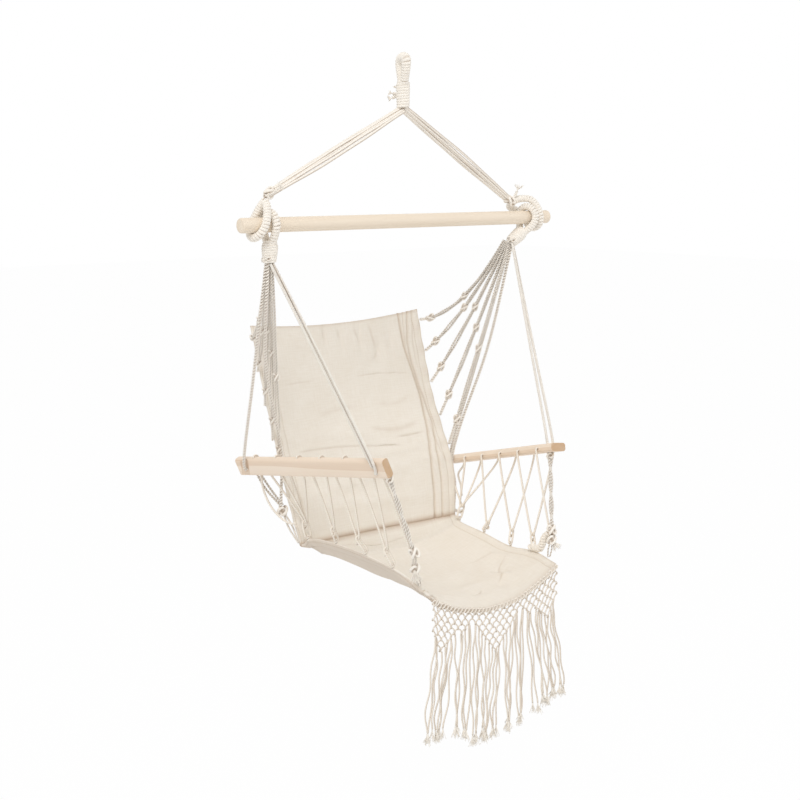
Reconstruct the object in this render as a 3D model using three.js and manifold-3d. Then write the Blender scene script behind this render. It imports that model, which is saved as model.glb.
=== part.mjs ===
// Hammock chair: a canvas seat and back slung from a round wooden spreader bar, with two wooden armrests,
// roped side nets and a knotted fringe. Millimetres, +Z up, the sitter faces -Y.
// The origin is the point where the hanging loop bears on its hook.
import * as THREE from "three";
import { mergeVertices } from "three/addons/utils/BufferGeometryUtils.js";
import Module from "manifold-3d";

const wasm = await Module();
wasm.setup();

// Clearances and overruns
const seatGap = 0.35;
const runningGap = 1;
const cutOverrun = 6;

// Spreader bar
const barLength = 800;
const barDiameter = 28;
const barEdgeRound = 3;
const barDrop = 308;
const barOffset = 11;
const eyeInsets = { rightLower: 65, leftLower: 61, rightUpper: 40, leftUpper: 43 };

// Hanging loop, the served neck below it and the knot beside the neck
const loopRopeDiameter = 20;
const loopFootDiameter = 13;
const loopHalfWidth = 24;
const loopLength = 48;
const loopTurnDegrees = -25;
const loopTurns = 20;
const serveRidge = 0.8;
const neckDiameter = 28;
const neckLength = 37;
const sideKnotDiameter = 13;
const tailDiameter = 6;

// Served eyes that carry the bar, and the served necks below the lower eyes
const lowerEyeRope = 14.4;
const upperEyeRope = 12.6;
const lowerNeckDiameter = 25;
const lowerNeckLength = 26;
const eyeKnotDiameter = 17;
const eyeTurns = 15;

// Cords
const bundleCordDiameter = 4.6;
const bundleCordCount = 5;
const thinCordSides = 6;
const knotSides = 8;
const hangCordDiameter = 5.5;
const backCordDiameter = 3.8;
const stayCordDiameter = 5;
const sideCordDiameter = 3.5;
const seatLoopDiameter = 3.5;
const ropeDiameter = 8;
const knotDiameter = 15;
const underKnotLength = 12;

// Armrests
const armrestLength = 400;
const armrestWidth = 38;
const armrestThickness = 18;
const armrestCornerRound = 6;
const armrestCrown = 1.2;
const netHoleCount = 6;
const netHolePitch = 61.5;
const firstNetHole = 43.5;
const netHoleDiameter = 4.8;
const hangHoleInset = 25;
const hangHoleSpread = 15;
const hangHoleDiameter = 6.9;
const rearHoleDiameter = 6.2;
const rearHoleInset = 22;
const rearHoleShift = 4;
const frontScoop = { radius: 12, depth: 2 };
const scoopSides = 20;
const rearScoop = { radius: 18, depth: 4.4, slantDegrees: 20 };

// Canvas
const canvasThickness = 5;
const casingWidth = 17;
const casingThickness = 8;

// Fringe
const fringeCordWidth = 3.2;
const fringeGap = 1;
const fringeSway = 2.4;
const pointCount = 3;
const shallowRows = 2;
const deepestRows = 5;
const meshWidth = 19;
const meshHeight = 15;
const fringeLength = 266;

const cotton = new THREE.MeshStandardMaterial({ color: 0xe9e2d3, roughness: 0.9, metalness: 0 });
const canvas = new THREE.MeshStandardMaterial({ color: 0xefe7d8, roughness: 0.95, metalness: 0 });
const barWood = new THREE.MeshStandardMaterial({ color: 0xe8d7b4, roughness: 0.55, metalness: 0 });
const armWood = new THREE.MeshStandardMaterial({ color: 0xe6c9a4, roughness: 0.6, metalness: 0 });

const vec = (x, y, z) => new THREE.Vector3(x, y, z);
const vecs = (list) => list.map((p) => vec(...p));
const UP = vec(0, 0, 1);
const SIDEWAYS = vec(1, 0, 0);

function solid(geometry) {
  const bare = geometry.clone();
  bare.deleteAttribute("normal");
  bare.deleteAttribute("uv");
  const merged = mergeVertices(bare, 1e-3);
  const made = new wasm.Manifold(
    new wasm.Mesh({
      numProp: 3,
      vertProperties: merged.attributes.position.array,
      triVerts: new Uint32Array(merged.index.array),
    }),
  );
  return made;
}

function geometryOf(body) {
  const mesh = body.getMesh();
  const positions = new Float32Array(mesh.numVert * 3);
  for (let i = 0; i < mesh.numVert; i++) {
    positions.set(mesh.vertProperties.subarray(i * mesh.numProp, i * mesh.numProp + 3), i * 3);
  }
  const geometry = new THREE.BufferGeometry();
  geometry.setAttribute("position", new THREE.BufferAttribute(positions, 3));
  geometry.setIndex(new THREE.BufferAttribute(mesh.triVerts, 1));
  geometry.computeVertexNormals();
  return geometry;
}

function join(geometries) {
  return geometryOf(geometries.map(solid).reduce((whole, piece) => whole.add(piece)));
}

// A closed grid of rings, each a list of points, turned to face outwards
function skin(rings, closed) {
  const count = rings[0].length;
  const points = rings.flat();
  const faces = [];
  const last = closed ? rings.length : rings.length - 1;
  for (let i = 0; i < last; i++) {
    for (let j = 0; j < count; j++) {
      const a = i * count + j;
      const b = i * count + ((j + 1) % count);
      const c = (a + count) % (rings.length * count);
      const d = (b + count) % (rings.length * count);
      faces.push(a, b, d, a, d, c);
    }
  }
  if (!closed) {
    for (const [start, flip] of [[0, true], [(rings.length - 1) * count, false]]) {
      for (let j = 1; j < count - 1; j++) {
        const fan = [start, start + j, start + j + 1];
        faces.push(...(flip ? fan.reverse() : fan));
      }
    }
  }
  return bodyOf(points, faces);
}

function bodyOf(points, faces) {
  let volume = 0;
  for (let i = 0; i < faces.length; i += 3) {
    const [a, b, c] = [points[faces[i]], points[faces[i + 1]], points[faces[i + 2]]];
    volume += a.dot(b.clone().cross(c));
  }
  if (volume < 0) faces.reverse();
  const geometry = new THREE.BufferGeometry().setFromPoints(points);
  geometry.setIndex(faces);
  geometry.computeVertexNormals();
  return geometry;
}

// Directions across a route at each of its points, square to the bisector of the bend there
function crossFrames(points, hint, closed) {
  return points.map((point, i) => {
    const before = points[i === 0 ? (closed ? points.length - 1 : 0) : i - 1];
    const after = points[i === points.length - 1 ? (closed ? 0 : i) : i + 1];
    const into = point.clone().sub(before).normalize();
    const out = after.clone().sub(point).normalize();
    const along = into.clone().add(out).normalize();
    const side = hint.clone().cross(along).normalize();
    const rise = along.clone().cross(side);
    return { point, side, rise, along };
  });
}

const roundSection = (diameter, sides) =>
  Array.from({ length: sides }, (_, j) => {
    const turn = (2 * Math.PI * (j + 0.5)) / sides;
    return [(diameter / 2) * Math.cos(turn), (diameter / 2) * Math.sin(turn)];
  });

// Two cords side by side, seen in section
function pairSection(diameter) {
  const lobe = diameter / 2;
  const offsets = [[2, 0], [1.5, 0.87], [0.7, 0.87], [0, 0.5], [-0.7, 0.87], [-1.5, 0.87]];
  const half = offsets.map(([across, rise]) => [across * lobe, rise * lobe]);
  return [...half, ...half.map(([across, rise]) => [-across, -rise])];
}

function sweep(points, section, hint = UP, scales = null) {
  const rings = crossFrames(points, hint, false).map(({ point, side, rise }, i) =>
    section.map(([across, up]) => {
      const scale = scales ? scales[i] : 1;
      return point.clone().addScaledVector(side, across * scale).addScaledVector(rise, up * scale);
    }),
  );
  return skin(rings, false);
}

const tube = (points, diameter, sides = 8, hint = SIDEWAYS) =>
  sweep(points, roundSection(diameter, sides), hint);

// A ring of rope served with thin cord: one ridge winds round it without a break
function servedRing(points, diameter, turns, ridge, farDiameter = diameter) {
  const sides = 8;
  const route = new THREE.CatmullRomCurve3(points, true, "centripetal");
  const ridgeRows = 2;
  const rings = [];
  for (let k = 0; k < turns * ridgeRows; k++) {
    const ring = [];
    for (let j = 0; j < sides; j++) {
      const share = ((k / ridgeRows + j / sides) / turns) % 1;
      const along = route.getTangentAt(share);
      const far = (1 - Math.cos(2 * Math.PI * share)) / 2;
      const radius = (diameter + (farDiameter - diameter) * far) / 2 - (k % ridgeRows) * ridge;
      const side = servedSide(along);
      const rise = along.clone().cross(side);
      const turn = (2 * Math.PI * j) / sides;
      ring.push(
        route
          .getPointAt(share)
          .addScaledVector(side, radius * Math.cos(turn))
          .addScaledVector(rise, radius * Math.sin(turn)),
      );
    }
    rings.push(ring);
  }
  const faces = [];
  const at = (k, j) => ((k + (j === sides ? ridgeRows : 0)) % rings.length) * sides + (j % sides);
  for (let k = 0; k < rings.length; k++) {
    for (let j = 0; j < sides; j++) {
      faces.push(at(k, j), at(k, j + 1), at(k + 1, j + 1), at(k, j), at(k + 1, j + 1), at(k + 1, j));
    }
  }
  return bodyOf(rings.flat(), faces);
}

// The eyes all lie near planes square to X, so X itself is the steady direction across them
const servedSide = (along) => SIDEWAYS.clone().addScaledVector(along, -along.x).normalize();

// A served neck or whipping: a turned barrel with a ridge for each turn of its wrapping
function barrel(diameter, length, turns, ridge, endShare = 0.86) {
  const profile = [new THREE.Vector2(0, 0), new THREE.Vector2((diameter / 2) * endShare, 0)];
  for (let k = 0; k < turns; k++) {
    profile.push(new THREE.Vector2(diameter / 2, (length * (k + 0.5)) / turns));
    if (k < turns - 1) profile.push(new THREE.Vector2(diameter / 2 - ridge, (length * (k + 1)) / turns));
  }
  profile.push(new THREE.Vector2((diameter / 2) * endShare, length), new THREE.Vector2(0, length));
  return new THREE.LatheGeometry(profile, 16);
}

// A tight knot: three fat wraps round the rope, with one wrap riding over the others
function knotGeometry(diameter, length) {
  const wraps = 3;
  const waistShare = 0.82;
  const profile = [new THREE.Vector2(0, -length / 2)];
  for (let k = 0; k < wraps; k++) {
    const middle = length * ((k + 0.5) / wraps - 0.5);
    const wrap = (diameter / 2) * (k === 1 ? 1 : 0.88);
    profile.push(new THREE.Vector2(wrap * waistShare, middle - length / wraps / 2.6));
    profile.push(new THREE.Vector2(wrap, middle));
    profile.push(new THREE.Vector2(wrap * waistShare, middle + length / wraps / 2.6));
  }
  profile.push(new THREE.Vector2(0, length / 2));
  return new THREE.LatheGeometry(profile, knotSides);
}

// Geometry drawn along +Y, laid with its middle at a point and its axis along a direction
function laid(geometry, middle, direction) {
  const turn = new THREE.Quaternion().setFromUnitVectors(vec(0, 1, 0), direction.clone().normalize());
  return geometry.applyQuaternion(turn).translate(middle.x, middle.y, middle.z);
}

const part = new THREE.Group();

function addMesh(group, name, geometry, material) {
  const mesh = new THREE.Mesh(geometry, material);
  mesh.name = name;
  group.add(mesh);
  return mesh;
}

// Hanging loop, its neck and its side knot
const hanger = new THREE.Group();
hanger.rotation.z = THREE.MathUtils.degToRad(loopTurnDegrees);
part.add(hanger);
const neckTop = -loopLength - seatGap;
const neckFoot = neckTop - neckLength;

function hangingLoop() {
  const top = loopRopeDiameter / 2;
  const foot = -loopLength + loopFootDiameter / 2;
  const sideShares = [[0.62, 0.8], [0.95, 0.42], [1, 0.08], [0.84, -0.32], [0.56, -0.66], [0.33, -0.9]];
  const heightOf = (high) => (high > 0 ? high * top : -high * foot);
  const right = sideShares.map(([wide, high]) => [0, wide * loopHalfWidth, heightOf(high)]);
  const left = right.map(([x, y, z]) => [x, -y, z]).reverse();
  const route = vecs([[0, 0, top], ...right, [0, 0, foot], ...left]);
  return servedRing(route, loopRopeDiameter, loopTurns, serveRidge, loopFootDiameter);
}

addMesh(hanger, "hanging_loop", hangingLoop(), cotton);
const neck = addMesh(hanger, "loop_neck", barrel(neckDiameter, neckLength, 7, serveRidge), cotton);
neck.rotation.x = Math.PI / 2;
neck.position.z = neckFoot;

function sideKnot() {
  const reach = neckDiameter / 2 + sideKnotDiameter / 2;
  const middle = vec(0, reach, neckTop - neckLength * 0.42);
  const knot = laid(knotGeometry(sideKnotDiameter, sideKnotDiameter), middle, UP);
  const lift = sideKnotDiameter;
  const tails = [[0.3, 1.1, 1.2], [-0.5, 1.6, 0.5]].map(([x, y, z]) =>
    tube([middle, middle.clone().add(vec(x * lift, y * lift, z * lift))], tailDiameter),
  );
  return join([knot, ...tails]);
}

addMesh(hanger, "loop_knot", sideKnot(), cotton);

// Bar
const bar = new THREE.Group();
bar.position.set(barOffset, 0, -barDrop);
part.add(bar);

function barGeometry() {
  const radius = barDiameter / 2;
  const outline = [new THREE.Vector2(0, 0)];
  for (const share of [0, 0.5, 1]) {
    const turn = (share * Math.PI) / 2;
    outline.push(
      new THREE.Vector2(
        radius - barEdgeRound + barEdgeRound * Math.sin(turn),
        barEdgeRound - barEdgeRound * Math.cos(turn),
      ),
    );
  }
  const mirrored = outline.map((p) => new THREE.Vector2(p.x, barLength - p.y)).reverse();
  return new THREE.LatheGeometry([...outline, ...mirrored], 32).translate(0, -barLength / 2, 0);
}

const barMesh = addMesh(bar, "spreader_bar", barGeometry(), barWood);
barMesh.rotation.z = Math.PI / 2;

// Eyes: each is a hand-chosen closed route round the bar, given as shares of the radius that it runs at
const rightEnd = barOffset - barLength / 2;
const leftEnd = barOffset + barLength / 2;
const ringRadius = (rope) => barDiameter / 2 + runningGap + rope / 2;
const lowerRing = ringRadius(lowerEyeRope);
const upperRing = ringRadius(upperEyeRope);
const mirrored = ([x, y, z]) => [x, -y, z];
const mirrorRoute = (half) => [...half, ...half.slice(1, -1).reverse().map(mirrored)];
const eyes = {
  right_lower_eye: {
    rope: lowerEyeRope,
    ring: lowerRing,
    at: rightEnd + eyeInsets.rightLower,
    shares: mirrorRoute([
      [0, 0, 1], [0, 0.71, 0.71], [0, 1, 0], [0, 0.78, -0.68], [0, 0.45, -1.24], [0, 0, -1.66],
    ]),
  },
  left_lower_eye: {
    rope: lowerEyeRope,
    ring: lowerRing,
    at: leftEnd - eyeInsets.leftLower,
    shares: [
      [0.02, 0, 1], [0.12, -0.71, 0.71], [0.16, -1, 0], [-0.04, -0.8, -0.68], [-0.45, -0.42, -1.22],
      [-0.86, 0, -1.54], [-0.5, 0.42, -1.22], [-0.12, 0.8, -0.68], [-0.02, 1, 0], [-0.02, 0.71, 0.71],
    ],
  },
  right_upper_eye: {
    rope: upperEyeRope,
    ring: upperRing,
    at: rightEnd + eyeInsets.rightUpper,
    shares: mirrorRoute([
      [-0.5, 0, -1], [-0.33, 0.71, -0.71], [0, 1, 0], [0.33, 0.8, 0.78], [0.55, 0.47, 1.42], [0.66, 0.03, 1.86],
    ]),
  },
  left_upper_eye: {
    rope: upperEyeRope,
    ring: upperRing,
    at: leftEnd - eyeInsets.leftUpper,
    shares: [
      [0.1, 0, -1], [0.1, -0.71, -0.71], [0, -1, 0], [-0.06, -0.74, 0.84], [-0.4, -0.1, 1.66],
      [-1, 0.62, 1.72], [-1.65, 0.62, 1.62], [-2.15, 0.5, 1.42], [-1.72, 1.36, 1.02],
      [-1, 1.7, 0.78], [-0.36, 1.5, 0.52], [0, 1, 0], [0.1, 0.74, -0.73],
    ],
  },
};

const besideEye = (eye, [x, y, z]) => vec(eye.at + x * eye.ring, y * eye.ring, z * eye.ring - barDrop);

for (const [name, eye] of Object.entries(eyes)) {
  const route = eye.shares.map((share) => besideEye(eye, share));
  addMesh(part, name, servedRing(route, eye.rope, eyeTurns, serveRidge), cotton);
}

// Knots that close the upper eyes, and the bundles of cord from them to the hanging loop
const bundleTop = vec(0, 0, neckFoot - seatGap - bundleCordDiameter * 1.25);
const upperKnots = {
  right: {
    middle: besideEye(eyes.right_upper_eye, [0.704, -0.141, 2.521]),
    tail: [[7, -14, 3], [24, -17, 18]],
  },
  left: {
    middle: besideEye(eyes.left_upper_eye, [-2.803, 0.399, 1.602]),
    tail: [[16, 0, 14], [24, 0, 30]],
  },
};

function bundle(side) {
  const { middle } = upperKnots[side];
  const direction = middle.clone().sub(bundleTop).normalize();
  const lean = side === "right" ? -1 : 1;
  const start = bundleTop.clone().add(vec(lean * bundleCordDiameter, 0, 0));
  const end = middle.clone().addScaledVector(direction, -eyeKnotDiameter / 2 - seatGap * 4);
  const span = (bundleCordCount - 1) / 2;
  const pitch = bundleCordDiameter * 0.93;
  const strands = [];
  for (let k = 0; k < bundleCordCount; k++) {
    const place = (k - span) * pitch;
    const fan = [0.62, 1, 0.62];
    const points = [0, 0.55, 1].map((share, i) =>
      start.clone().lerp(end, share).add(vec(0, place * fan[i] * 0.75, lean * place * fan[i] * 0.66)),
    );
    strands.push(tube(points, bundleCordDiameter, thinCordSides, vec(0, 1, 0)));
  }
  return join(strands);
}

function upperKnot(side) {
  const { middle, tail } = upperKnots[side];
  const direction = bundleTop.clone().sub(middle);
  const knot = laid(knotGeometry(eyeKnotDiameter, eyeKnotDiameter), middle, direction);
  const end = middle.clone();
  const points = [middle, ...tail.map((p) => end.clone().add(vec(...p)))];
  return join([knot, tube(points, tailDiameter)]);
}

for (const side of ["right", "left"]) {
  addMesh(part, side + "_upper_bundle", bundle(side), cotton);
  addMesh(part, side + "_upper_knot", upperKnot(side), cotton);
}

// Served necks below the lower eyes, where all of a side's cords begin
const lowerNecks = {
  right: { top: besideEye(eyes.right_lower_eye, [0, 0, -1.946]), direction: vec(-0.02, 0.06, -1) },
  left: { top: besideEye(eyes.left_lower_eye, [-1.0946, -0.009, -1.6532]), direction: vec(-0.8, 0.12, -0.6) },
};

for (const side of ["right", "left"]) {
  const neckEnd = lowerNecks[side];
  const { top, direction } = neckEnd;
  direction.normalize();
  const foot = top.clone().addScaledVector(direction, lowerNeckLength);
  const inward = SIDEWAYS.clone().addScaledVector(direction, -direction.x).normalize();
  if (side === "left") inward.negate();
  const backward = direction.clone().cross(inward);
  if (backward.y < 0) backward.negate();
  neckEnd.spring = ([inner, back], diameter, next) => {
    const start = foot.clone().addScaledVector(inward, inner).addScaledVector(backward, back);
    const lean = next.clone().sub(start).angleTo(direction);
    return start.addScaledVector(direction, seatGap + (diameter / 2) * Math.sin(lean));
  };
  const geometry = barrel(lowerNeckDiameter, lowerNeckLength, 6, serveRidge);
  addMesh(part, side + "_lower_neck", laid(geometry, top, direction), cotton);
}

// Armrests: each lies along its own direction, rolled about it
const armrests = {
  right: { front: vec(-228.9, -225.5, -743), toeIn: 8.3, rise: 7.3, roll: 112, inner: 1 },
  left: { front: vec(225.8, -221.2, -762.6), toeIn: 5.2, rise: 13.6, roll: 6.4, inner: -1 },
};

for (const arm of Object.values(armrests)) {
  const [toe, rise, roll] = [arm.toeIn, arm.rise, arm.roll].map(THREE.MathUtils.degToRad);
  const ahead = Math.cos(rise);
  arm.back = vec(-arm.inner * Math.sin(toe) * ahead, Math.cos(toe) * ahead, -Math.sin(rise));
  const level = arm.back.clone().cross(UP).normalize().multiplyScalar(arm.inner);
  const upright = arm.back.clone().cross(level).normalize();
  if (upright.z < 0) upright.negate();
  arm.across = level.clone().multiplyScalar(Math.cos(roll)).addScaledVector(upright, Math.sin(roll));
  arm.up = upright.clone().multiplyScalar(Math.cos(roll)).addScaledVector(level, -Math.sin(roll));
  arm.at = (back, across, up) =>
    arm.front
      .clone()
      .addScaledVector(arm.back, back)
      .addScaledVector(arm.across, across)
      .addScaledVector(arm.up, up);
}

function armrestSection() {
  const halfWidth = armrestWidth / 2;
  const halfDepth = armrestThickness / 2 - armrestCrown;
  const round = armrestCornerRound;
  const shape = new THREE.Shape();
  shape.moveTo(-halfWidth + round, -halfDepth);
  shape.quadraticCurveTo(0, -halfDepth - 2 * armrestCrown, halfWidth - round, -halfDepth);
  shape.absarc(halfWidth - round, -halfDepth + round, round, -Math.PI / 2, 0, false);
  shape.absarc(halfWidth - round, halfDepth - round, round, 0, Math.PI / 2, false);
  shape.quadraticCurveTo(0, halfDepth + 2 * armrestCrown, -halfWidth + round, halfDepth);
  shape.absarc(-halfWidth + round, halfDepth - round, round, Math.PI / 2, Math.PI, false);
  shape.absarc(-halfWidth + round, -halfDepth + round, round, Math.PI, 1.5 * Math.PI, false);
  return shape;
}

const bored = (diameter, length) => new THREE.CylinderGeometry(diameter / 2, diameter / 2, length, 10);

// Drawn with its length along Z from the front end, its width along X and its top at +Y; outer is +1 or -1
function armrestGeometry(outer) {
  const blank = new THREE.ExtrudeGeometry(armrestSection(), {
    depth: armrestLength,
    bevelEnabled: false,
    curveSegments: 3,
  });
  let wood = solid(blank);
  const cut = (geometry) => {
    wood = wood.subtract(solid(geometry));
  };
  for (let k = 0; k < netHoleCount; k++) {
    const hole = bored(netHoleDiameter, armrestWidth + cutOverrun).rotateZ(Math.PI / 2);
    cut(hole.translate(0, 0, firstNetHole + k * netHolePitch));
  }
  for (const across of [-hangHoleSpread / 2, hangHoleSpread / 2]) {
    cut(bored(hangHoleDiameter, armrestThickness + cutOverrun).translate(across, 0, hangHoleInset));
  }
  const rear = armrestLength - rearHoleInset;
  const rearBore = bored(rearHoleDiameter, armrestThickness + cutOverrun);
  cut(rearBore.translate(outer * rearHoleShift, 0, rear));
  const slant = THREE.MathUtils.degToRad(rearScoop.slantDegrees);
  const scoops = [[frontScoop, hangHoleInset, 0], [rearScoop, rear, slant]];
  for (const [{ radius, depth }, place, turn] of scoops) {
    const scoop = new THREE.CylinderGeometry(radius, radius, armrestWidth * 2, scoopSides);
    scoop.rotateZ(Math.PI / 2).rotateX(Math.PI / scoopSides).rotateY(-outer * turn);
    cut(scoop.translate(0, armrestThickness / 2 + radius - depth, place));
  }
  return geometryOf(wood);
}

for (const [side, arm] of Object.entries(armrests)) {
  const mesh = addMesh(part, side + "_armrest", armrestGeometry(arm.inner), armWood);
  const widthwise = arm.across.clone().multiplyScalar(-arm.inner);
  mesh.quaternion.setFromRotationMatrix(new THREE.Matrix4().makeBasis(widthwise, arm.up, arm.back));
  mesh.position.copy(arm.front);
}

// Hanging cords from each lower neck through the armrest's front holes to the knot under it
const underKnotDrop = underKnotLength / 2 + seatGap;
const underKnots = {
  right: { middle: armrests.right.at(9, -armrestWidth / 2 - underKnotDrop, -3), axis: armrests.right.across },
  left: {
    middle: armrests.left.at(hangHoleInset + 2, 0, -armrestThickness / 2 - underKnotDrop),
    axis: armrests.left.up,
  },
};

// Where each cord leaves its neck, towards the sitter's middle and to the rear of the neck's own axis
const springs = {
  front_inner: [3.1, -8.5],
  front_outer: [-3.1, -8.5],
  rear: [-5.2, 2.8],
  stay: [-5.2, -3],
  back: [[3.6, 14.7], [3.6, 10.4], [3.6, 6.1], [3.6, 1.8], [3.6, -2.5]],
};

// Points [behind the front holes, across, above the top face] where a cord lies on the armrest
const hangRoutes = {
  right: { inner: [[-6, 17, 3.1], [-5, 2, 3], [-1, -6.2, 1.6]], outer: [[0, 17, 3.1], [0, 8.7, 2.2]] },
  left: { inner: [[0, 7.5, 1.8]], outer: [[0, -7.5, 1.8]] },
};
const hangBows = {
  right: { inner: vec(1.7, -1.7, 0), outer: vec(0, 0, 0) },
  left: { inner: vec(0, 0, 0), outer: vec(0, 0, 0) },
};
const hangHoleSides = { right: { inner: -1, outer: 1 }, left: { inner: 1, outer: -1 } };
const rearRoutes = { right: [[-9, 17, 2.9], [-2.5, 3, 1.6], [0, -3, -0.2]], left: [[0, -4, 1.7]] };
const onFace = (arm, inset, [back, across, above]) => arm.at(inset + back, across, armrestThickness / 2 + above);

for (const [side, arm] of Object.entries(armrests)) {
  for (const name of ["inner", "outer"]) {
    const across = (hangHoleSides[side][name] * hangHoleSpread) / 2;
    const route = hangRoutes[side][name].map((place) => onFace(arm, hangHoleInset, place));
    const start = lowerNecks[side].spring(springs["front_" + name], hangCordDiameter, route[0]);
    const exit = arm.at(hangHoleInset, across, -armrestThickness / 2 + hangCordDiameter / 2);
    const middle = start.clone().lerp(route[0], 0.5).add(hangBows[side][name]);
    const points = [start, middle, ...route, exit];
    addMesh(part, side + "_front_cord_" + name, tube(points, hangCordDiameter), cotton);
  }
}

// The right armrest hangs on its edge: its cords come out of the inner face and bend down to the knot
function underLeg(arm, across, knotMiddle) {
  const inside = -armrestThickness / 2 + hangCordDiameter / 2 - seatGap;
  const face = -armrestThickness / 2 - hangCordDiameter * 0.75;
  const edge = -armrestWidth / 2;
  const points = [
    arm.at(hangHoleInset, across, inside),
    arm.at(hangHoleInset, across, face),
    arm.at(hangHoleInset - 6, edge + 5, face),
    arm.at(hangHoleInset - 12, edge - 3, face + 2),
    knotMiddle,
  ];
  return tube(points, hangCordDiameter, thinCordSides);
}

for (const [side, arm] of Object.entries(armrests)) {
  const { middle, axis } = underKnots[side];
  const pieces = [laid(knotGeometry(knotDiameter, underKnotLength), middle, axis)];
  if (side === "right") {
    for (const hole of [-1, 1]) pieces.push(underLeg(arm, (hole * hangHoleSpread) / 2, middle));
  }
  addMesh(part, side + "_under_knot", join(pieces), cotton);
}

// Canvas: edge routes of the back and the seat from the sitter's right to the left
const backEdges = {
  right: vecs([
    [-224, 215, -520], [-222, 188, -610], [-220, 160, -700],
    [-221, 124, -790], [-219, 96, -870], [-211, 70, -953],
  ]),
  left: vecs([
    [224, 215, -514], [222, 188, -605], [220, 158, -695],
    [222, 116, -790], [224, 92, -850], [211, 70, -957],
  ]),
};
const seatEdges = {
  right: vecs([
    [-210, 64, -956], [-206, 51, -938], [-200, -34, -930],
    [-195, -119, -935], [-189, -192, -947], [-164, -279, -991],
  ]),
  left: vecs([
    [210, 64, -960], [206, 51, -966], [200, -34, -975],
    [195, -119, -986], [189, -192, -980], [166, -277, -984],
  ]),
};
const edgeRoute = (points) => new THREE.CatmullRomCurve3(points, false, "centripetal");
const backRight = edgeRoute(backEdges.right);
const backLeft = edgeRoute(backEdges.left);
const seatRight = edgeRoute(seatEdges.right);
const seatLeft = edgeRoute(seatEdges.left);

const backBelly = 20;
const backTopBelly = 6;
const backTopDroop = 14;
const backFolds = [
  { share: 0.42, height: 3, width: 0.03, slope: 0.05 },
  { share: 0.6, height: 4, width: 0.035, slope: -0.04 },
  { share: 0.74, height: 5, width: 0.03, slope: -0.06 },
  { share: 0.88, height: 4, width: 0.03, slope: 0.03 },
];
const seatSag = 73;
const seatFrontLift = 24;
const seatFolds = [
  { share: 0.22, height: 4, width: 0.05, slope: 0.08 },
  { share: 0.55, height: 4, width: 0.05, slope: -0.1 },
  { share: 0.8, height: 3, width: 0.04, slope: 0.05 },
];

const foldHeight = (folds, across, down) =>
  folds.reduce((sum, fold) => {
    const away = (down - fold.share - fold.slope * across) / fold.width;
    return sum + fold.height * Math.exp(-away * away) * (1 - across * across);
  }, 0);

function backPoint(across, down) {
  const point = backRight.getPoint(down).lerp(backLeft.getPoint(down), (across + 1) / 2);
  const bow = 1 - across * across;
  const belly = backTopBelly + (backBelly - backTopBelly) * Math.sin(Math.PI * Math.min(1, down * 1.05));
  point.y += bow * belly - foldHeight(backFolds, across, down);
  point.z -= bow * backTopDroop * Math.max(0, 1 - down * 4);
  return point;
}

function seatPoint(across, down) {
  const point = seatRight.getPoint(down).lerp(seatLeft.getPoint(down), (across + 1) / 2);
  const bow = 1 - across * across;
  const lift = seatFrontLift * Math.max(0, (down - 0.7) / 0.3) ** 2;
  point.z -= bow * (seatSag * Math.sin((Math.PI / 2) * Math.min(1, down * 1.9)) ** 0.8 - lift);
  point.z += foldHeight(seatFolds, across, down);
  return point;
}

// A closed sheet with its two faces either side of a surface, thicker along its side casings
function cloth(pointAt, columns, rows) {
  const step = 1e-3;
  const casingShare = casingWidth / 220;
  const top = [];
  const under = [];
  for (let i = 0; i <= rows; i++) {
    for (let j = 0; j <= columns; j++) {
      const across = clothColumn(j, columns, casingShare);
      const down = i / rows;
      const here = pointAt(across, down);
      const a = Math.min(1 - step, Math.max(-1 + step, across));
      const d = Math.min(1 - step, Math.max(step, down));
      const right = pointAt(a + step, d).sub(pointAt(a - step, d));
      const fall = pointAt(a, d + step).sub(pointAt(a, d - step));
      const normal = right.cross(fall).normalize();
      const edge = j <= 1 || j >= columns - 1;
      const half = (edge ? casingThickness : canvasThickness) / 2;
      top.push(here.clone().addScaledVector(normal, half));
      under.push(here.clone().addScaledVector(normal, -half));
    }
  }
  return sheetBody(top, under, columns, rows);
}

// Columns: one narrow strip at each side for the casing, and even strips between
function clothColumn(j, columns, casingShare) {
  if (j === 0) return -1;
  if (j === columns) return 1;
  const inner = 1 - casingShare;
  return -inner + (2 * inner * (j - 1)) / (columns - 2);
}

function sheetBody(top, under, columns, rows) {
  const width = columns + 1;
  const offset = top.length;
  const faces = [];
  for (let i = 0; i < rows; i++) {
    for (let j = 0; j < columns; j++) {
      const a = i * width + j;
      const [b, c, d] = [a + 1, a + width, a + width + 1];
      faces.push(a, b, d, a, d, c, offset + a, offset + d, offset + b, offset + a, offset + c, offset + d);
    }
  }
  const rim = [];
  for (let j = 0; j < columns; j++) rim.push(j);
  for (let i = 0; i < rows; i++) rim.push(i * width + columns);
  for (let j = columns; j > 0; j--) rim.push(rows * width + j);
  for (let i = rows; i > 0; i--) rim.push(i * width);
  rim.forEach((a, k) => {
    const b = rim[(k + 1) % rim.length];
    faces.push(b, a, offset + a, b, offset + a, offset + b);
  });
  return bodyOf([...top, ...under], faces);
}

addMesh(part, "back_panel", cloth(backPoint, 16, 20), canvas);
addMesh(part, "seat_panel", cloth(seatPoint, 16, 20), canvas);

// Seat loops: doubled cord from the seat's edge up to each bend of the side cord
const loopBends = {
  right: vecs([[-210, 54, -902], [-209, -35, -898], [-207, -110, -902], [-196, -181, -911]]),
  left: vecs([[216, 54, -936], [209, -35, -955], [207, -110, -957], [196, -181, -950]]),
};
const edgeShares = [0.2, 0.4, 0.6, 0.8];
const edgeCurves = { right: seatRight, left: seatLeft };
const bendRadius = ((sideCordDiameter + seatLoopDiameter) / 2 + seatGap) * 1.12;
const bendTurns = [-90, -45, 0, 45, 90].map(THREE.MathUtils.degToRad);

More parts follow.
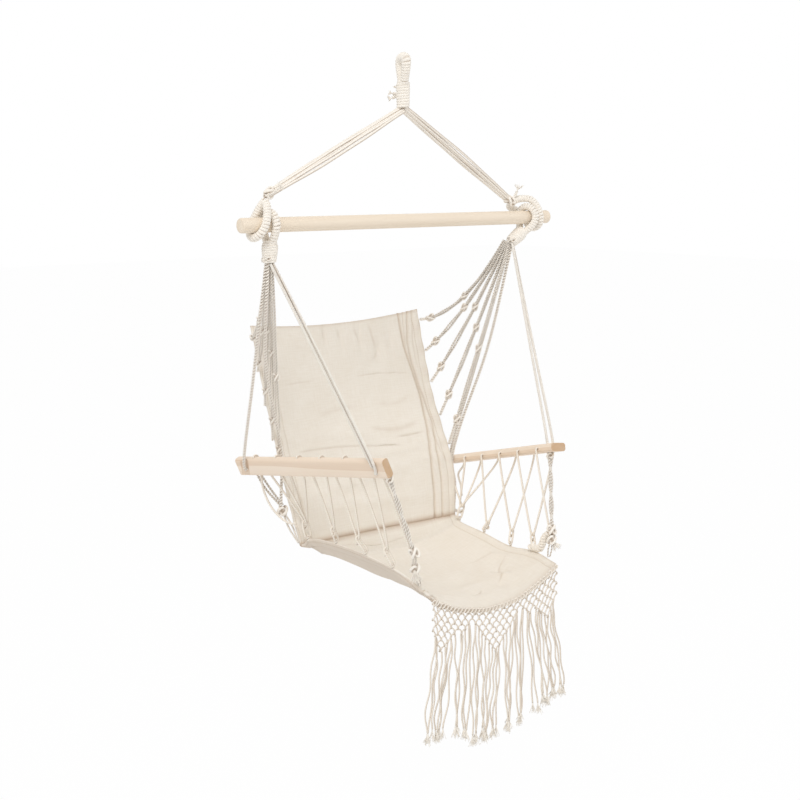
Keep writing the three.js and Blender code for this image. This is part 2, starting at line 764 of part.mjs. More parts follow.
function seatLoop(side, index) {
  const bend = loopBends[side][index];
  const foot = edgeCurves[side].getPoint(edgeShares[index]);
  foot.z += casingThickness / 2 + seatLoopDiameter / 2 + bendRadius;
  const room = index === 0 ? bendRadius + sideCordDiameter * 0.64 : bendRadius;
  const arc = (middle, rise) =>
    bendTurns.map((turn) =>
      middle
        .clone()
        .addScaledVector(SIDEWAYS, room * Math.sin(turn) * rise)
        .addScaledVector(UP, bendRadius * Math.cos(turn) * rise),
    );
  const points = [...arc(bend, 1), ...arc(foot, -1)];
  const rings = crossFrames(points, vec(0, 1, 0), true).map(({ point, side: out, rise }) =>
    roundSection(seatLoopDiameter, 6).map(([x, y]) =>
      point.clone().addScaledVector(out, x).addScaledVector(rise, y),
    ),
  );
  return skin(rings, true);
}

for (const side of ["right", "left"]) {
  for (let index = 0; index < 4; index++) {
    addMesh(part, side + "_seat_loop_" + (index + 1), seatLoop(side, index), cotton);
  }
}

// Side cord: one cord rove from the front knot through the armrest's holes and the seat loops in turn
const cornerKnots = {
  right: { high: vec(-186, -250, -904), low: vec(-181, -246, -936) },
  left: { high: vec(187, -244, -925), low: vec(184, -246, -944) },
};
const cornerKnotEnds = { right: vec(-172, -250, -969.4), left: vec(175, -248, -978.3) };
const sideCordStarts = { right: vec(-187, -240.8, -902), left: vec(188, -234.9, -922) };
const slackEnds = {
  right: vecs([[-262, 122, -841], [-250, 112, -876], [-236, 94, -899], [-230, 76, -905], [-227, 62, -903]]),
  left: vecs([[275, 130, -884], [266, 112, -905], [256, 98, -925]]),
};

function holePass(arm, hole) {
  const back = firstNetHole + hole * netHolePitch;
  const beyond = armrestWidth / 2 + sideCordDiameter * 0.8;
  const below = -armrestThickness / 2 - sideCordDiameter * 0.8;
  const through = [arm.at(back, beyond, below), arm.at(back, beyond, 0), arm.at(back, -beyond, 0)];
  if (arm === armrests.right) return [arm.at(back - 10, -armrestWidth / 2 + 4, below), ...through];
  return [...through, arm.at(back, -beyond, below)];
}

function bendPoints(bend, shift) {
  return bendTurns.map((turn) =>
    bend.clone().add(vec(shift, bendRadius * Math.sin(turn), bendRadius * (1 - Math.cos(turn)))),
  );
}

function sideCord(side) {
  const arm = armrests[side];
  const points = [sideCordStarts[side], ...holePass(arm, 0)];
  const order = [3, 2, 1, 0, 0];
  order.forEach((index, k) => {
    const twice = (sideCordDiameter + seatGap) / 2;
    const shift = index === 0 ? (k === 3 ? twice : -twice) * arm.inner : 0;
    points.push(...bendPoints(loopBends[side][index], shift), ...holePass(arm, k + 1));
  });
  points.push(...slackEnds[side]);
  return tube(points, sideCordDiameter, thinCordSides);
}

for (const side of ["right", "left"]) {
  addMesh(part, side + "_side_cord", sideCord(side), cotton);
}

// Front ropes and the knots at the seat's front corners
for (const side of ["right", "left"]) {
  const { high, low } = cornerKnots[side];
  const { middle, axis } = underKnots[side];
  const begin = middle.clone().addScaledVector(axis, -underKnotDrop);
  const fall = high.clone().sub(begin).normalize();
  const lean = fall.angleTo(axis.clone().negate());
  begin.addScaledVector(axis, (-ropeDiameter / 2) * Math.sin(lean));
  const end = high.clone().addScaledVector(fall, -knotDiameter / 2 - seatGap);
  const rope = tube([begin, end], ropeDiameter);
  addMesh(part, side + "_front_rope", rope, cotton);
  const pieces = [
    laid(knotGeometry(knotDiameter, knotDiameter), high, fall),
    laid(knotGeometry(knotDiameter, knotDiameter), low, high.clone().sub(low)),
    tube([high, low], ropeDiameter, thinCordSides),
    tube([low, cornerKnotEnds[side]], ropeDiameter * 0.8, thinCordSides),
  ];
  addMesh(part, side + "_corner_knot", join(pieces), cotton);
}

// Rear cords: neck to the armrest's rear hole, and a stay to the knot at the canvas's rear corner
const rearKnots = { right: vec(-228, 106, -884), left: vec(219, 98, -946) };
const rearKnotEnds = { right: vec(-220, 64, -944), left: vec(222, 64, -953) };
const rearRopes = {
  right: vecs([[-247, 132, -838], [-227.5, 108.5, -874.1]]),
  left: vecs([[250, 130, -909], [221.8, 101.2, -935.9]]),
};
const stays = {
  right: vecs([[-296, 58, -576], [-236, 95, -769], [-236, 99, -846], [-234, 103, -872]]),
  left: vecs([
    [281, 46, -590], [242, 92, -770], [232.5, 104, -833],
    [232.5, 103, -860], [237, 100, -892], [233, 97, -936],
  ]),
};

for (const [side, arm] of Object.entries(armrests)) {
  const rear = armrestLength - rearHoleInset;
  const route = rearRoutes[side].map((place) => onFace(arm, rear, place));
  const start = lowerNecks[side].spring(springs.rear, stayCordDiameter, route[0]);
  const exit = arm.at(rear, -rearHoleShift, -armrestThickness / 2 - stayCordDiameter * 0.4);
  const points = [start, start.clone().lerp(route[0], 0.55), ...route, exit];
  addMesh(part, side + "_rear_cord", tube(points, stayCordDiameter), cotton);
  const lean = rearRopes[side][0].clone().sub(exit).angleTo(arm.up.clone().negate());
  const ropeTop = exit.clone().addScaledVector(arm.up, (-ropeDiameter / 2) * Math.sin(lean) - seatGap);
  addMesh(part, side + "_rear_rope", tube([ropeTop, ...rearRopes[side]], ropeDiameter), cotton);
  const knot = laid(knotGeometry(knotDiameter, knotDiameter), rearKnots[side], UP);
  const end = tube([rearKnots[side], rearKnotEnds[side]], ropeDiameter * 0.8);
  addMesh(part, side + "_rear_knot", join([knot, end]), cotton);
  const stayStart = lowerNecks[side].spring(springs.stay, stayCordDiameter, stays[side][0]);
  addMesh(part, side + "_rear_stay", tube([stayStart, ...stays[side]], stayCordDiameter), cotton);
}

// Back cords: doubled cords, knotted near the canvas and half way up, from the neck to the back's edge
const backCordShares = [0.05, 0.2, 0.35, 0.5, 0.65];
const backCordDroops = [40, 22, 14, 9, 6];
const backKnotShares = [0.46, 0.87];
const backCurves = { right: backRight, left: backLeft };

function backCord(side, index) {
  const arm = armrests[side];
  const edge = backCurves[side].getPoint(backCordShares[index]);
  edge.x -= arm.inner * (casingThickness / 2 + backCordDiameter + seatGap);
  const aim = edge.clone();
  aim.z -= backCordDroops[index] * 4;
  const start = lowerNecks[side].spring(springs.back[index], backCordDiameter * 2, aim);
  const shares = [0, 0.22, 0.42, 0.46, 0.5, 0.68, 0.83, 0.87, 0.91, 1];
  const points = shares.map((share) => {
    const point = start.clone().lerp(edge, share);
    point.z -= backCordDroops[index] * 4 * share * (1 - share);
    return point;
  });
  const scales = shares.map((share) => (backKnotShares.includes(share) ? 1.5 : 1));
  return sweep(points, pairSection(backCordDiameter), UP, scales);
}

for (const side of ["right", "left"]) {
  for (let index = 0; index < backCordShares.length; index++) {
    addMesh(part, side + "_back_cord_" + (index + 1), backCord(side, index), cotton);
  }
}

// Fringe: a net of knotted cord under the seat's front edge, with its cords hanging on below it
const frontRuns = 24;
const frontEdge = Array.from({ length: frontRuns + 1 }, (_, i) => seatPoint(-1 + (2 * i) / frontRuns, 1));
const edgeLengths = frontEdge.map((point, i) => (i ? point.distanceTo(frontEdge[i - 1]) : 0));
const edgeLength = edgeLengths.reduce((sum, run) => sum + run, 0);

function alongEdge(distance) {
  let left = Math.max(0, Math.min(edgeLength - 1e-6, distance));
  let i = 1;
  while (left > edgeLengths[i] && i < frontRuns) {
    left -= edgeLengths[i];
    i += 1;
  }
  return frontEdge[i - 1].clone().lerp(frontEdge[i], left / edgeLengths[i]);
}

const columnCount = Math.round(edgeLength / meshWidth / pointCount) * pointCount;
const column = edgeLength / columnCount;
const rowsAt = (distance) => {
  const phase = ((distance / edgeLength) * pointCount) % 1;
  return shallowRows + Math.round((deepestRows - shallowRows) * (1 - Math.abs(phase * 2 - 1)));
};

// A point of the flat fringe, so far along the seat's front edge and so far below it
function hung(distance, fall, sway = 0) {
  const edge = alongEdge(distance);
  return [edge.x + sway, edge.z - casingThickness / 2 - fringeGap - fall];
}

function fringeShape() {
  const shape = new THREE.Shape();
  const cordHalf = fringeCordWidth / 2;
  const cords = columnCount * 2;
  const spacing = edgeLength / cords;
  const draw = (...place) => shape.lineTo(...hung(...place));
  shape.moveTo(...hung(0, 0));
  for (let k = 0; k < cords; k++) {
    const middle = (k + 0.5) * spacing;
    const depth = rowsAt(middle) * meshHeight;
    const loose = fringeLength * (0.96 + 0.04 * Math.sin(k * 2.4)) - depth;
    const [a, b] = [middle - cordHalf, middle + cordHalf];
    if (k === 0) draw(0, depth);
    const sways = [0, Math.sin(k * 1.9), Math.sin(k * 1.3) / 2].map((lean) => lean * fringeSway);
    const strand = [0, 0.5, 1].map((share, i) => [depth + loose * share, sways[i]]);
    for (const place of strand) draw(a, ...place);
    for (const place of strand.reverse()) draw(b, ...place);
    const next = rowsAt(Math.min(edgeLength, middle + spacing)) * meshHeight;
    if (next !== depth && k < cords - 1) {
      draw((k + 1) * spacing, depth);
      draw((k + 1) * spacing, next);
    }
  }
  draw(edgeLength, rowsAt(edgeLength - spacing / 2) * meshHeight);
  for (let k = columnCount; k > 0; k--) draw(k * column, 0);
  shape.closePath();
  addMeshHoles(shape);
  return shape;
}

function addMeshHoles(shape) {
  const halfWide = column / 2 - fringeCordWidth * 0.72;
  const halfHigh = meshHeight / 2 - fringeCordWidth * 0.6;
  for (let row = 0; row < deepestRows * 2 - 1; row++) {
    const fall = (row / 2 + 0.75) * meshHeight;
    const odd = row % 2;
    for (let k = 0; k < columnCount - odd; k++) {
      const x = (k + 0.5 + odd / 2) * column;
      const rows = Math.min(rowsAt(x - column / 2 + 1), rowsAt(x + column / 2 - 1));
      if (fall + meshHeight / 2 > rows * meshHeight) continue;
      const corners = [
        [x, fall - halfHigh], [x + halfWide, fall], [x, fall + halfHigh], [x - halfWide, fall],
      ];
      const hole = new THREE.Path();
      hole.setFromPoints(corners.map((corner) => new THREE.Vector2(...hung(...corner))));
      hole.closePath();
      shape.holes.push(hole);
    }
  }
}

function fringeGeometry() {
  const flat = new THREE.ExtrudeGeometry(fringeShape(), { depth: fringeCordWidth, bevelEnabled: false });
  return flat.rotateX(Math.PI / 2).translate(0, frontEdge[0].y + fringeCordWidth / 2, 0);
}

addMesh(part, "fringe", fringeGeometry(), cotton);

export default part;
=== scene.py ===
# %% [markdown]
# # A hammock chair of cord, canvas and wood
# The chair hangs from a loop of rope. Its solids are loaded first as a fixed frame, and every piece here is
# made in the same coordinates, in metres, so nothing has to be fitted afterwards.

import bpy
import numpy as np
from mathutils import Matrix, Vector


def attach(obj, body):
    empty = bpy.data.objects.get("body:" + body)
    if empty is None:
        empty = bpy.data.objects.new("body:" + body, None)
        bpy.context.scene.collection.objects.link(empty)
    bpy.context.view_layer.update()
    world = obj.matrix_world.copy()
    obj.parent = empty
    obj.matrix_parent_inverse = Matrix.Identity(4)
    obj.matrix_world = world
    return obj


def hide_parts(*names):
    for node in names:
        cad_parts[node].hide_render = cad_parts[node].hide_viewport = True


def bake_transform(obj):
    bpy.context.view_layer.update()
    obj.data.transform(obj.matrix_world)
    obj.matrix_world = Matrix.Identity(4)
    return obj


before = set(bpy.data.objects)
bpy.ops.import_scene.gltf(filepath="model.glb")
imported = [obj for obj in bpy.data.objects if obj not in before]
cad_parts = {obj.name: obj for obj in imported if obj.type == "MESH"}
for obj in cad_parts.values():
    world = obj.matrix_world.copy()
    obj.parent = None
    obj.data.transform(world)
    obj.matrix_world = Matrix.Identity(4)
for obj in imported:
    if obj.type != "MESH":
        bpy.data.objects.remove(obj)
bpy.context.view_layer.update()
bpy.ops.object.select_all(action="DESELECT")
chance = np.random.default_rng(5)

# %% [markdown]
# ## Camera
# The view is a long lens from the sitter's right and slightly above. Its place was solved from the bar, the
# holes of the armrests and the upright lines, so the camera is typed in and not aimed by eye.

# %% Camera
lens = bpy.data.cameras.new("camera")
lens.lens = 63
lens.sensor_width = 36
lens.clip_end = 50
camera = bpy.data.objects.new("camera", lens)
camera.location = (-1.8245, -2.1382, -0.2099)
camera.rotation_euler = np.radians((90 - 9.29, 0, -40.35))
bpy.context.collection.objects.link(camera)
bpy.context.scene.camera = camera
print("camera at", tuple(camera.location))

# %% [markdown]
# ## Points, lines and tubes
# Cord is the main material of this chair. A cord is a line with a round section carried along it, so a few
# small helpers make lines through chosen points, carry a section along them without twisting, and lay twisted
# plies around them. Routes are written in millimetres, as on a drawing, and turned to metres.

# %% Lines through chosen points
UP = np.array([0.0, 0.0, 1.0])


def mm(points):
    return np.asarray(points, float) * 0.001


def unit(vector):
    vector = np.asarray(vector, float)
    return vector / np.linalg.norm(vector)


def line_at(points, shares, closed=False):
    """Places on the centripetal curve through the points, by share of their number."""
    points = np.asarray(points, float)
    spans = len(points) if closed else len(points) - 1
    at = np.clip(shares, 0, 1) * spans
    first = np.minimum(np.floor(at).astype(int), spans - 1)
    s = (at - first)[:, None]
    if closed:
        a, b, c, d = (points[(first + k) % len(points)] for k in (-1, 0, 1, 2))
    else:
        longer = np.vstack([2 * points[0] - points[1], points, 2 * points[-1] - points[-2]])
        a, b, c, d = (longer[first + k] for k in (0, 1, 2, 3))
    chords = (b - a, c - b, d - c)
    t0, t1, t2 = (np.maximum(np.linalg.norm(chord, axis=1), 1e-9)[:, None] ** 0.5 for chord in chords)
    leave = ((b - a) / t0 - (c - a) / (t0 + t1) + (c - b) / t1) * t1
    reach = ((c - b) / t1 - (d - b) / (t1 + t2) + (d - c) / t2) * t1
    return (
        b * (2 * s**3 - 3 * s**2 + 1)
        + leave * (s**3 - 2 * s**2 + s)
        + c * (3 * s**2 - 2 * s**3)
        + reach * (s**3 - s**2)
    )


def distances(line):
    return np.concatenate([[0], np.cumsum(np.linalg.norm(np.diff(line, axis=0), axis=1))])


def spaced(line, spacing):
    """The same line with its points at even distances."""
    along = distances(line)
    at = np.linspace(0, along[-1], max(2, int(round(along[-1] / spacing)) + 1))
    return np.column_stack([np.interp(at, along, line[:, k]) for k in range(3)])


def smooth(points, spacing, closed=False):
    count = 24 * len(points)
    return spaced(line_at(points, np.linspace(0, 1, count), closed), spacing)


print("a test line of", len(smooth(mm([[0, 0, 0], [50, 0, 0], [50, 50, 0]]), 0.002)), "points")

# %% [markdown]
# A section that is carried along a bent line has to keep its direction, or the cord looks wrung. Each frame
# here is the one before it, turned only as much as the line itself turns. On a closed ring the small turn that
# is left over is shared out evenly.

# %% Frames and tubes


def frames(line, hint=UP, closed=False):
    if closed:
        ahead = np.roll(line, -1, axis=0) - np.roll(line, 1, axis=0)
    else:
        ahead = np.gradient(line, axis=0)
    ahead /= np.linalg.norm(ahead, axis=1)[:, None]
    hint = np.asarray(hint, float)
    if abs(hint @ ahead[0]) > 0.95:
        hint = np.array([1.0, 0.3, 0.1])
    side = np.empty_like(line)
    last = hint
    for i, t in enumerate(ahead):
        last = last - (last @ t) * t
        last = last / np.linalg.norm(last)
        side[i] = last
    rise = np.cross(ahead, side)
    if closed:
        back = side[-1] - (side[-1] @ ahead[0]) * ahead[0]
        over = np.arctan2(back @ rise[0], back @ side[0])
        turn = -over * np.arange(len(line)) / len(line)
        c, s = np.cos(turn)[:, None], np.sin(turn)[:, None]
        side, rise = side * c + rise * s, rise * c - side * s
    return ahead, side, rise


def skin(rings, along, closed=False, crevice=0.0, tone=0.5):
    """A closed tube through rings of points, with the way along it and round it as its UV map."""
    count, sides = rings.shape[:2]
    ring = np.arange(count if closed else count - 1)
    i, j = np.meshgrid(ring, np.arange(sides), indexing="ij")
    nxt, beside = (i + 1) % count, (j + 1) % sides
    quads = np.stack([i * sides + j, i * sides + beside, nxt * sides + beside, nxt * sides + j], -1)
    step = along[1] - along[0]
    u0, u1 = along[i], np.where(nxt == 0, along[-1] + step, along[nxt])
    v0, v1 = j / sides, (j + 1) / sides
    corners = ((u0, v0), (u0, v1), (u1, v1), (u1, v0))
    uv = np.stack([np.stack(corner, -1) for corner in corners], 2)
    points = rings.reshape(-1, 3)
    crevice = np.broadcast_to(np.asarray(crevice, float), rings.shape[:2]).reshape(-1).copy()
    tris = np.zeros((0, 3), int)
    if not closed:
        last = (count - 1) * sides
        j = np.arange(sides)
        start, end = len(points), len(points) + 1
        points = np.vstack([points, rings[0].mean(0), rings[-1].mean(0)])
        crevice = np.concatenate([crevice, crevice[:1], crevice[-1:]])
        first = np.stack([np.full(sides, start), (j + 1) % sides, j], -1)
        final = np.stack([np.full(sides, end), last + j, last + (j + 1) % sides], -1)
        tris = np.vstack([first, final])
    return {
        "points": points,
        "quads": quads.reshape(-1, 4),
        "tris": tris,
        "quad_uv": uv.reshape(-1, 2),
        "tri_uv": np.tile([along[0], 0.5], (3 * len(tris), 1)),
        "crevice": crevice,
        "tone": np.full(len(points), float(tone)),
    }


def tube(line, radius, sides=8, closed=False, hint=UP, crevice=0.0, tone=0.5):
    if closed:
        line = line[:-1]
    _, side, rise = frames(line, hint, closed)
    radius = np.broadcast_to(radius, len(line))[:, None, None]
    turn = np.linspace(0, 2 * np.pi, sides, endpoint=False)[None, :, None]
    rings = line[:, None] + radius * (np.cos(turn) * side[:, None] + np.sin(turn) * rise[:, None])
    return skin(rings, distances(line), closed, crevice, tone)


# %% [markdown]
# Thick cord is laid from plies that wind round each other, and its edge shows as a row of slanted ridges with
# brown shade between them. A picture of that on a plain tube looks flat from the side, so the plies are made.
# How deep a point lies between the plies is kept as an attribute, which the material paints as brown shade.

# %% Twisted cord
# How far out a ply lies and how thick it is, as shares of the cord's thickness, so that its plies just touch
PLY_SHARES = {2: (0.5, 0.5), 3: (0.464, 0.536)}
LAY = 0.0125  # the length of one turn of the plies
# Painted shade begins this far out, as a share of the cord's radius, and is full this much deeper
GROOVE_TOP, GROOVE_DEEP = 0.95, 0.26


def rope(line, diameter, plies=3, lay=0.0155, sides=7, turn=0.0, tone=0.5, shade=0.5):
    line = spaced(line, lay / 9)
    _, side, rise = frames(line)
    along = distances(line)
    reach, ply = (share * diameter / 2 for share in PLY_SHARES[plies])
    stretch = np.hypot(1, 2 * np.pi * reach / lay)
    theta = np.linspace(0, 2 * np.pi, sides, endpoint=False)[None, :, None]
    strands = []
    for k in range(plies):
        angle = (2 * np.pi * (along / lay + k / plies) + turn)[:, None]
        out = np.cos(angle) * side + np.sin(angle) * rise
        around = np.cos(angle) * rise - np.sin(angle) * side
        middle = line + reach * out
        section = np.cos(theta) * out[:, None] + np.sin(theta) * stretch * around[:, None]
        rings = middle[:, None] + ply * section
        depth = np.linalg.norm(rings - line[:, None], axis=2) / (diameter / 2)
        crevice = shade * np.clip((GROOVE_TOP - depth) / GROOVE_DEEP, 0, 1)
        strands.append(skin(rings, along, False, crevice, tone + chance.uniform(-0.1, 0.1)))
    return strands


sample = rope(mm([[0, 0, 0], [0, 0, -100]]), 0.0055)
print("a rope of three plies has", sum(len(ply["quads"]) for ply in sample), "faces")

# %% Thin cord and served cord


def half_shaded(made, sides, deep=0.5, toward=(0.75, -0.6, -0.28)):
    """Shades the side of a tube that looks away from the light, as thin cords show against pale cloth."""
    count = len(made["points"]) // sides * sides
    rings = made["points"][:count].reshape(-1, sides, 3)
    out = rings - rings.mean(1, keepdims=True)
    facing = (out / np.linalg.norm(out, axis=2)[..., None]) @ unit(toward)
    shade = deep * np.clip((facing.reshape(-1) - 0.15) / 0.6, 0, 1)
    made["crevice"][:count] = np.maximum(made["crevice"][:count], shade)
    return made


def resampled(values, count):
    """The same run of values, read at another number of even places."""
    values = np.atleast_1d(values)
    return np.interp(np.linspace(0, 1, count), np.linspace(0, 1, len(values)), values)


def served(line, radius, cord, closed=False, tone=0.6, shade=0.7):
    """A core wound over from end to end with thin cord, which is pressed a little flat."""
    length = distances(line)[-1]
    wraps = max(3, int(round(length / cord)))
    fine = spaced(line, length / (wraps * 12))
    radius = resampled(radius, len(fine))
    if closed:
        fine, radius = fine[:-1], radius[:-1]
    _, side, rise = frames(fine, closed=closed)
    angle = (2 * np.pi * wraps * np.arange(len(fine)) / len(fine))[:, None]
    out = np.cos(angle) * side + np.sin(angle) * rise
    winding = fine + (radius - cord / 2)[:, None] * out
    ahead = frames(winding, closed=closed)[0]
    theta = np.linspace(0, 2 * np.pi, 8, endpoint=False)[None, :, None]
    high = out - np.sum(out * ahead, 1)[:, None] * ahead
    high /= np.linalg.norm(high, axis=1)[:, None]
    flat = np.cross(ahead, high)
    section = 0.52 * np.cos(theta) * high[:, None] + 0.60 * np.sin(theta) * flat[:, None]
    rings = winding[:, None] + cord * section
    # Painted shade on the low sides of each turn, and the core under the turns painted brown as the shade
    # between them
    crevice = np.broadcast_to(shade * np.clip(0.42 - 0.8 * np.cos(theta[..., 0]), 0, 1), rings.shape[:2])
    core = spaced(line, 0.002)
    core_radius = resampled(radius, len(core) - closed) - cord * 0.55
    return [
        skin(rings, distances(winding), closed, crevice, tone),
        tube(core, core_radius, 10, closed, crevice=shade, tone=tone),
    ]


sample = served(mm([[0, 0, 0], [0, 0, -50]]), 0.01, 0.005)
print("a served cord has", sum(len(part["quads"]) for part in sample), "faces")

# %% [markdown]
# Knots are thick and rounded with strands that cross over each other. A trefoil, which is the line of a real
# overhand knot, gives that from every side. Cut ends fray into a small brush of thin yarns.

# %% Knots and frayed ends


TREFOIL_REACH = 3.55  # a trefoil's line reaches 3 units out, and its cord some way past that


def basis(axis):
    axis = unit(axis)
    side = unit(np.cross(axis, (0.2, 1.0, 0.1)))
    return side, np.cross(axis, side), axis


def knot(middle, axis, diameter, length, count=64, sides=8, turn=0.0, tone=0.5):
    scale = diameter / 2 / TREFOIL_REACH
    t = np.linspace(0, 2 * np.pi, count + 1) + turn
    tall = max(0.6, length / 2 / scale - 0.75)
    out = 2 + np.cos(3 * t)
    local = np.stack([out * np.cos(2 * t), out * np.sin(2 * t), tall * np.sin(3 * t)], -1)
    side, rise, ahead = basis(axis)
    line = middle + scale * (local[:, :1] * side + local[:, 1:2] * rise + local[:, 2:] * ahead)
    made = tube(line, 0.92 * scale, sides, True, ahead, tone=tone)
    # Painted shade where the strands lie on each other in the middle of the knot, and a dark painted core
    # inside it
    rough = made["points"] - middle
    flat = np.linalg.norm(rough - (rough @ ahead)[:, None] * ahead, axis=1) / (diameter / 2)
    made["crevice"] = np.clip((0.72 - flat) / 0.4, 0, 1)
    core = tube(middle + np.linspace(-0.4, 0.4, 4)[:, None] * ahead * length, 1.3 * scale, sides, crevice=0.7)
    return [made, core]


def fray(start, direction, length, spread, count=12, thickness=0.0011, tone=0.55):
    side, rise, ahead = basis(direction)
    yarns = []
    for k in range(count):
        lean = spread * np.sqrt(chance.uniform(0.05, 1))
        around = chance.uniform(0, 2 * np.pi)
        aim = ahead + lean * (np.cos(around) * side + np.sin(around) * rise)
        reach = length * chance.uniform(0.8, 1.05)
        wave = 0.12 * reach * unit(chance.normal(size=3))
        path = [start, start + 0.35 * reach * (0.6 * ahead + 0.4 * aim), start + reach * aim + wave]
        line = smooth(path, reach / 5)
        radius = thickness * np.linspace(0.8, 0.45, len(line))
        yarns.append(tube(line, radius, 4, tone=tone + chance.uniform(-0.2, 0.2)))
    return yarns


# %% Turn parts into one object


def piece(name, parts, material, body=None, nodes=()):
    points = np.vstack([p["points"] for p in parts])
    faces, corners, base = [], [], 0
    for p in parts:
        faces += (p["quads"] + base).tolist() + (p["tris"] + base).tolist()
        corners += [p["quad_uv"], p["tri_uv"]]
        base += len(p["points"])
    mesh = bpy.data.meshes.new(name)
    mesh.from_pydata(points.tolist(), [], faces)
    mesh.uv_layers.new(name="UVMap").data.foreach_set("uv", np.vstack(corners).ravel())
    # The first attribute is painted shade: deep between plies, strands and turns, in knots, in the cloth's
    # creases and under the seat. The second is each cord's own whiteness.
    for label in ("crevice", "tone"):
        values = np.concatenate([p[label] for p in parts])
        mesh.attributes.new(label, "FLOAT", "POINT").data.foreach_set("value", values)
    mesh.shade_smooth()
    mesh.materials.append(material)
    made = bpy.data.objects.new(name, mesh)
    bpy.context.collection.objects.link(made)
    settle(made, body, nodes)
    print(name, len(mesh.polygons), "faces")
    return made


def settle(made, body, nodes):
    """What it moves with, and the solids that it stands for, which are hidden."""
    if body:
        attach(made, body)
    if nodes:
        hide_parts(*nodes)


# %% [markdown]
# ## Materials
# Colours are written as sRGB hex values, as a colour picker shows them, and one function turns them to the
# linear values that Blender mixes. One small function adds a node with its settings and links: its inputs are
# named, or in order, and a node given as an input stands for its first output.

# %% Colours and nodes
from functools import partial


def colour(code):
    channels = [int(code[k : k + 2], 16) / 255 for k in (1, 3, 5)]
    return [c / 12.92 if c <= 0.04045 else ((c + 0.055) / 1.055) ** 2.4 for c in channels] + [1.0]


def feed(made, inputs):
    """Sets the inputs of a node, and links those whose value is a node or a socket."""
    for key, value in inputs.items() if isinstance(inputs, dict) else enumerate(inputs):
        named = [s for s in made.inputs if s.enabled and s.name == key]
        into = named[0] if named else made.inputs[key]
        if isinstance(value, bpy.types.Node):
            value = next(s for s in value.outputs if s.enabled)
        if isinstance(value, bpy.types.NodeSocket):
            made.id_data.links.new(value, into)
        else:
            into.default_value = value
    return made


def node(tree, kind, inputs=(), **settings):
    made = tree.nodes.new("ShaderNode" + kind)
    for name, value in settings.items():
        setattr(made, name, value)
    return feed(made, inputs)


def new_material(name, **surface):
    """A material, the function that adds nodes to it, and its surface node."""
    material = bpy.data.materials.new(name)
    material.use_nodes = True
    tree = material.node_tree
    surface = {socket.replace("_", " "): value for socket, value in surface.items()}
    return material, partial(node, tree), feed(tree.nodes["Principled BSDF"], surface)


def dressed_in(add, surface, pattern, base, layers, height, strength, distance):
    """Lays colours over two mixed ones, each by its own pattern and share, and adds a bump."""
    look = add("Mix", {"Factor": pattern, "A": colour(base[0]), "B": colour(base[1])}, data_type="RGBA")
    for factor, most, code in layers:
        share = add("Math", [factor, most], operation="MULTIPLY")
        look = add("Mix", {"Factor": share, "A": look, "B": colour(code)}, data_type="RGBA")
    bump = add("Bump", {"Height": height, "Strength": strength, "Distance": distance})
    feed(surface, {"Base Color": look, "Normal": bump})


print("a pale canvas colour is", np.round(colour("#F8F3EB"), 3).tolist())

# %% [markdown]
# ### Cotton cord
# Undyed cotton: spun fibres, matt and slightly fuzzy, with painted warm-brown shade between the strands.
# Fibres follow the cord, so their pattern reads the cord's own UV map, metres along it and turns round it.
# Each cord's lay, the distance from ridge to ridge, is drawn by a bump and by painted shade in its grooves.

# %% Cotton cord


def cotton(name, base, shade, ridge_mm, ridges_round, depth):
    # Loose cotton fibres scatter light at grazing angles: a little sheen, no gloss
    material, add, surface = new_material(name, Roughness=0.92, Sheen_Weight=0.12, Specular_IOR_Level=0.2)
    uv = add("UVMap", uv_map="UVMap")
    along, around = add("SeparateXYZ", [uv]).outputs[:2]
    # Yarn hairs are 0.02 mm wide; they are drawn about 1 mm wide and 12 mm long so that they show
    stretched = add("Mapping", {"Vector": uv, "Scale": (80, 9, 1)})
    fibres = add("TexNoise", {"Vector": stretched, "Scale": 1, "Detail": 4})
    where = add("TexCoord").outputs["Object"]
    patches = add("TexNoise", {"Vector": where, "Scale": 30, "Detail": 2})
    turns = add("Math", [around, ridges_round], operation="MULTIPLY")
    lays = add("Math", [along, 1000 / ridge_mm, turns], operation="MULTIPLY_ADD")
    phase = add("Math", [lays, 2 * np.pi], operation="MULTIPLY")
    wave = add("Math", [phase], operation="SINE")
    ridges = add("Math", [wave, 0.5, 0.5], operation="MULTIPLY_ADD")
    groove_shade = add("Math", [add("Math", [1.0, ridges], operation="SUBTRACT"), depth], operation="MULTIPLY")
    crevice = add("Attribute", attribute_name="crevice").outputs["Fac"]
    tone = add("Attribute", attribute_name="tone").outputs["Fac"]
    # Fibres and patches are the cotton's own uneven colour; the last two layers are painted shade, in the
    # grooves of the lay and deep between plies and strands. The shade colour also darkens the fibres.
    layers = [
        (fibres, 0.24, shade), (patches, 0.12, "#D9C9B0"), (groove_shade, 1.0, shade), (crevice, 0.75, "#96754F"),
    ]
    fuzz = add("Math", [fibres, 0.5], operation="MULTIPLY")
    height = add("Math", [ridges, depth, fuzz], operation="MULTIPLY_ADD")
    dressed_in(add, surface, tone, (base, "#FFFBF5"), layers, height, 0.5, 0.0006)
    return material


laid_cotton = cotton("cotton_rope_laid", "#FBF6EE", "#E6DAC8", 3.0, 1, 0.1)
thin_cotton = cotton("cotton_cord_thin", "#FAF4EB", "#DBCBB3", 4.5, 2, 0.36)
served_cotton = cotton("cotton_cord_served", "#FAF5ED", "#E4D9C8", 2.4, 1, 0.15)
print("cotton finishes:", laid_cotton.name, thin_cotton.name, served_cotton.name)

# %% [markdown]
# ### Cotton canvas
# Plain-woven cotton, about eleven threads to the centimetre, undyed. Threads are uneven, so the weave shows as
# short slubs both ways. The side casings have two rows of running stitch. The UV map is in metres from the
# middle of the cloth, so the rows of stitches can be placed by their distance from the edge.

